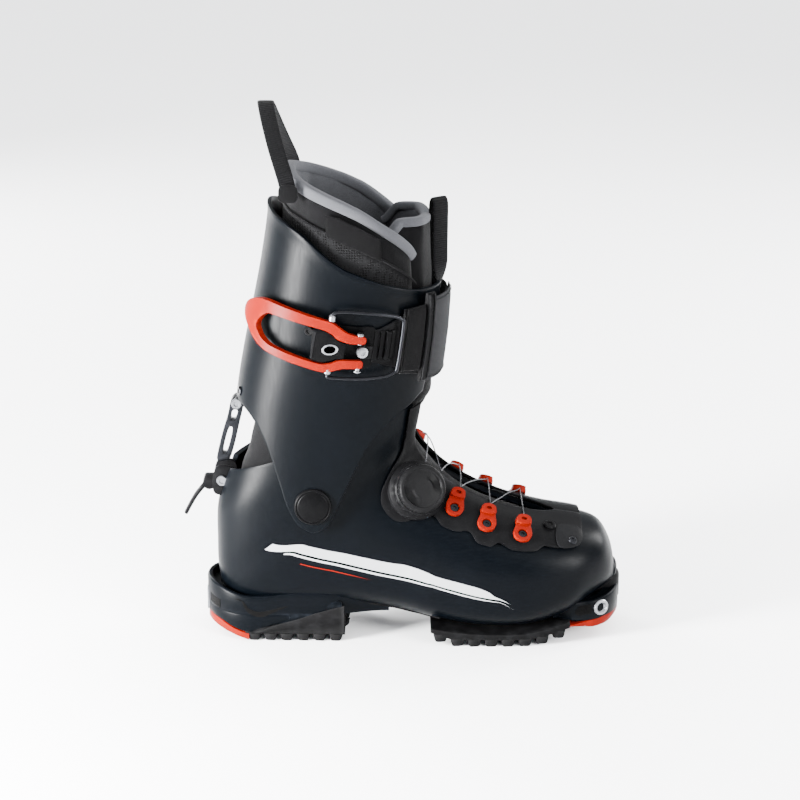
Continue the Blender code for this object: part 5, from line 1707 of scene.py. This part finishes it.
def make_loops():
    """Rear loop sewn to both sides of the collar, and the tongue's twisted loop."""
    side = [(63.0, -40.6, 312.0), (59.5, -38.4, 326.0), (53.5, -28.0, 343.0), (48.6, -15.5, 358.5),
            (46.0, -5.5, 367.6)]
    rear = [*side, (45.4, 0.0, 369.2), *[(x, -y, z) for x, y, z in reversed(side)]]
    piece = ribbon("rear_loop_webbing", route_through(rear, 80), 10.5, 1.6, lambda place: (1, 0, 0), STRAP)
    done(piece, "cuff", ["rear_pull_loop"])

    def twist(z):
        return radians(52.0) * ease(z, 238.0, 264.0)

    front = []
    for gap, z in ((-1.4, 243), (-2.0, 256), (-2.2, 275), (-2.3, 292), (-2.2, 301), (0.0, 305.2),
                   (2.6, 301.5),
                   (2.7, 290), (2.5, 273), (1.9, 256), (0.8, 243)):
        front.append((159.6 + gap * cos(twist(z)), -gap * sin(twist(z)), z))
    piece = ribbon("front_loop_webbing", route_through(front, 90), 12.4, 1.5,
                   lambda place: (sin(twist(place.z)), cos(twist(place.z)), 0.0), STRAP)
    done(piece, "cuff", ["front_pull_loop"])
    outline = rounded([(-6.4, -7.0), (6.4, -7.0), (6.4, 5.0), (-6.4, 5.0)], 2)
    for label, side in (("outer", -1), ("inner", 1)):
        place = placed((61.5, side * 41.9, 317.0), (-0.15, side, 0.1))
        done(plate(f"rear_loop_patch_{label}", [outline], 1.2, place, TAB, 0.4), "cuff")


def finish_cad_nodes():
    """Give the CAD nodes that stay in view their materials."""
    surfaces = {"boot_board": GREY, "dial_spool": STEEL, "dial_spindle": STEEL}
    for name, surface in surfaces.items():
        item = frame["nodes"][name]
        item.data.materials.clear()
        item.data.materials.append(surface)
        item.data.shade_smooth()


# Stage ----------------------------------------------------------------------------------------

def make_studio_light():
    """Bright ceiling over a darker room, and soft boxes at the sides."""
    sky = bpy.data.worlds.new("studio")
    bpy.context.scene.world = sky
    sky.use_nodes = True
    tree = sky.node_tree
    direction = node(tree, "ShaderNodeTexCoord").outputs["Generated"]
    height = node(tree, "ShaderNodeSeparateXYZ", {"Vector": direction}).outputs["Z"]
    ceiling = node(tree, "ShaderNodeMapRange", {
        "Value": height, "From Min": 0.35, "From Max": 0.75, "To Min": 0.0, "To Max": 1.0},
        interpolation_type="SMOOTHSTEP").outputs["Result"]
    horizon = fit(tree, height, 0.20, -0.02, 0.0, 0.45)
    colour = tint(tree, maths(tree, "MAXIMUM", ceiling, horizon), (0.07, 0.075, 0.085), (0.98, 0.99, 1.0))
    background = tree.nodes["Background"]
    tree.links.new(colour, background.inputs["Color"])
    background.inputs["Strength"].default_value = 5.2

    def softbox(name, place, target, size, power, tone=(1.0, 1.0, 1.0)):
        light = bpy.data.lights.new(name, "AREA")
        light.shape = "RECTANGLE"
        light.size, light.size_y = size
        light.energy = power
        light.color = tone
        item = bpy.data.objects.new(name, light)
        bpy.context.scene.collection.objects.link(item)
        item.location = place
        item.rotation_euler = (Vector(target) - Vector(place)).to_track_quat("-Z", "Y").to_euler()

    aim = (0.0, 0.0, 0.17)
    softbox("left_low", (-0.74, -0.40, 0.17), (0.0, 0.0, 0.10), (0.22, 0.32), 110.0)
    softbox("left_front", (-1.35, -0.72, 0.62), aim, (0.34, 0.8), 90.0)
    softbox("left_back", (-1.1, 1.2, 0.7), aim, (0.4, 1.1), 70.0)
    softbox("right_back", (1.4, 0.9, 0.9), aim, (0.5, 1.1), 80.0)
    softbox("right_front", (1.15, -1.05, 0.72), aim, (0.6, 0.3), 50.0)
    softbox("right_low", (0.76, -0.56, 0.25), (0.1, 0.0, 0.06), (0.26, 0.2), 16.0)


def make_stage():
    """Pale floor, light and camera."""
    mesh = bpy.data.meshes.new("floor")
    count, reach = 96, 14.0
    mesh.from_pydata([(x, y, 0.0) for x, y in circle((0.0, 0.0), reach, count)], [], [tuple(range(count))])
    item, tree, shader = material("pale_floor")
    soft = noise_value(tree, places(tree), 900.0, 2.0)
    tree.links.new(tint(tree, soft, (0.80, 0.80, 0.805), (0.83, 0.83, 0.835)), shader.inputs["Base Color"])
    shader.inputs["Roughness"].default_value = 0.7
    floor = add_object("floor", mesh, item)

    make_studio_light()
    camera = bpy.data.cameras.new("view")
    camera.lens = CAMERA_LENS
    camera.sensor_width = 36.0
    camera.clip_end = 60.0
    item = bpy.data.objects.new("view", camera)
    bpy.context.scene.collection.objects.link(item)
    target = world(CAMERA_TARGET)
    item.location = target + CAMERA_DISTANCE * Vector((0.0, -cos(CAMERA_TILT), sin(CAMERA_TILT)))
    item.rotation_euler = (target - item.location).to_track_quat("-Z", "Y").to_euler()
    bpy.context.scene.camera = item


make_stage()
make_lower_shell()
make_ledges()
make_stripes()
make_overlay()
make_front_plate()
make_sole()
make_inserts()
make_collar()
make_tongue()
make_liner_foot()
make_liner_ankle()
make_liner_trim()
make_gaiter()
make_cuff()
make_cuff_fittings()
make_strap()
make_lever()
make_buckle_base()
make_bail()
make_lean_bar()
make_lock_screws()
make_lock_bracket()
make_dial()
make_guides()
make_cable()
make_loops()
finish_cad_nodes()

bpy.context.view_layer.update()
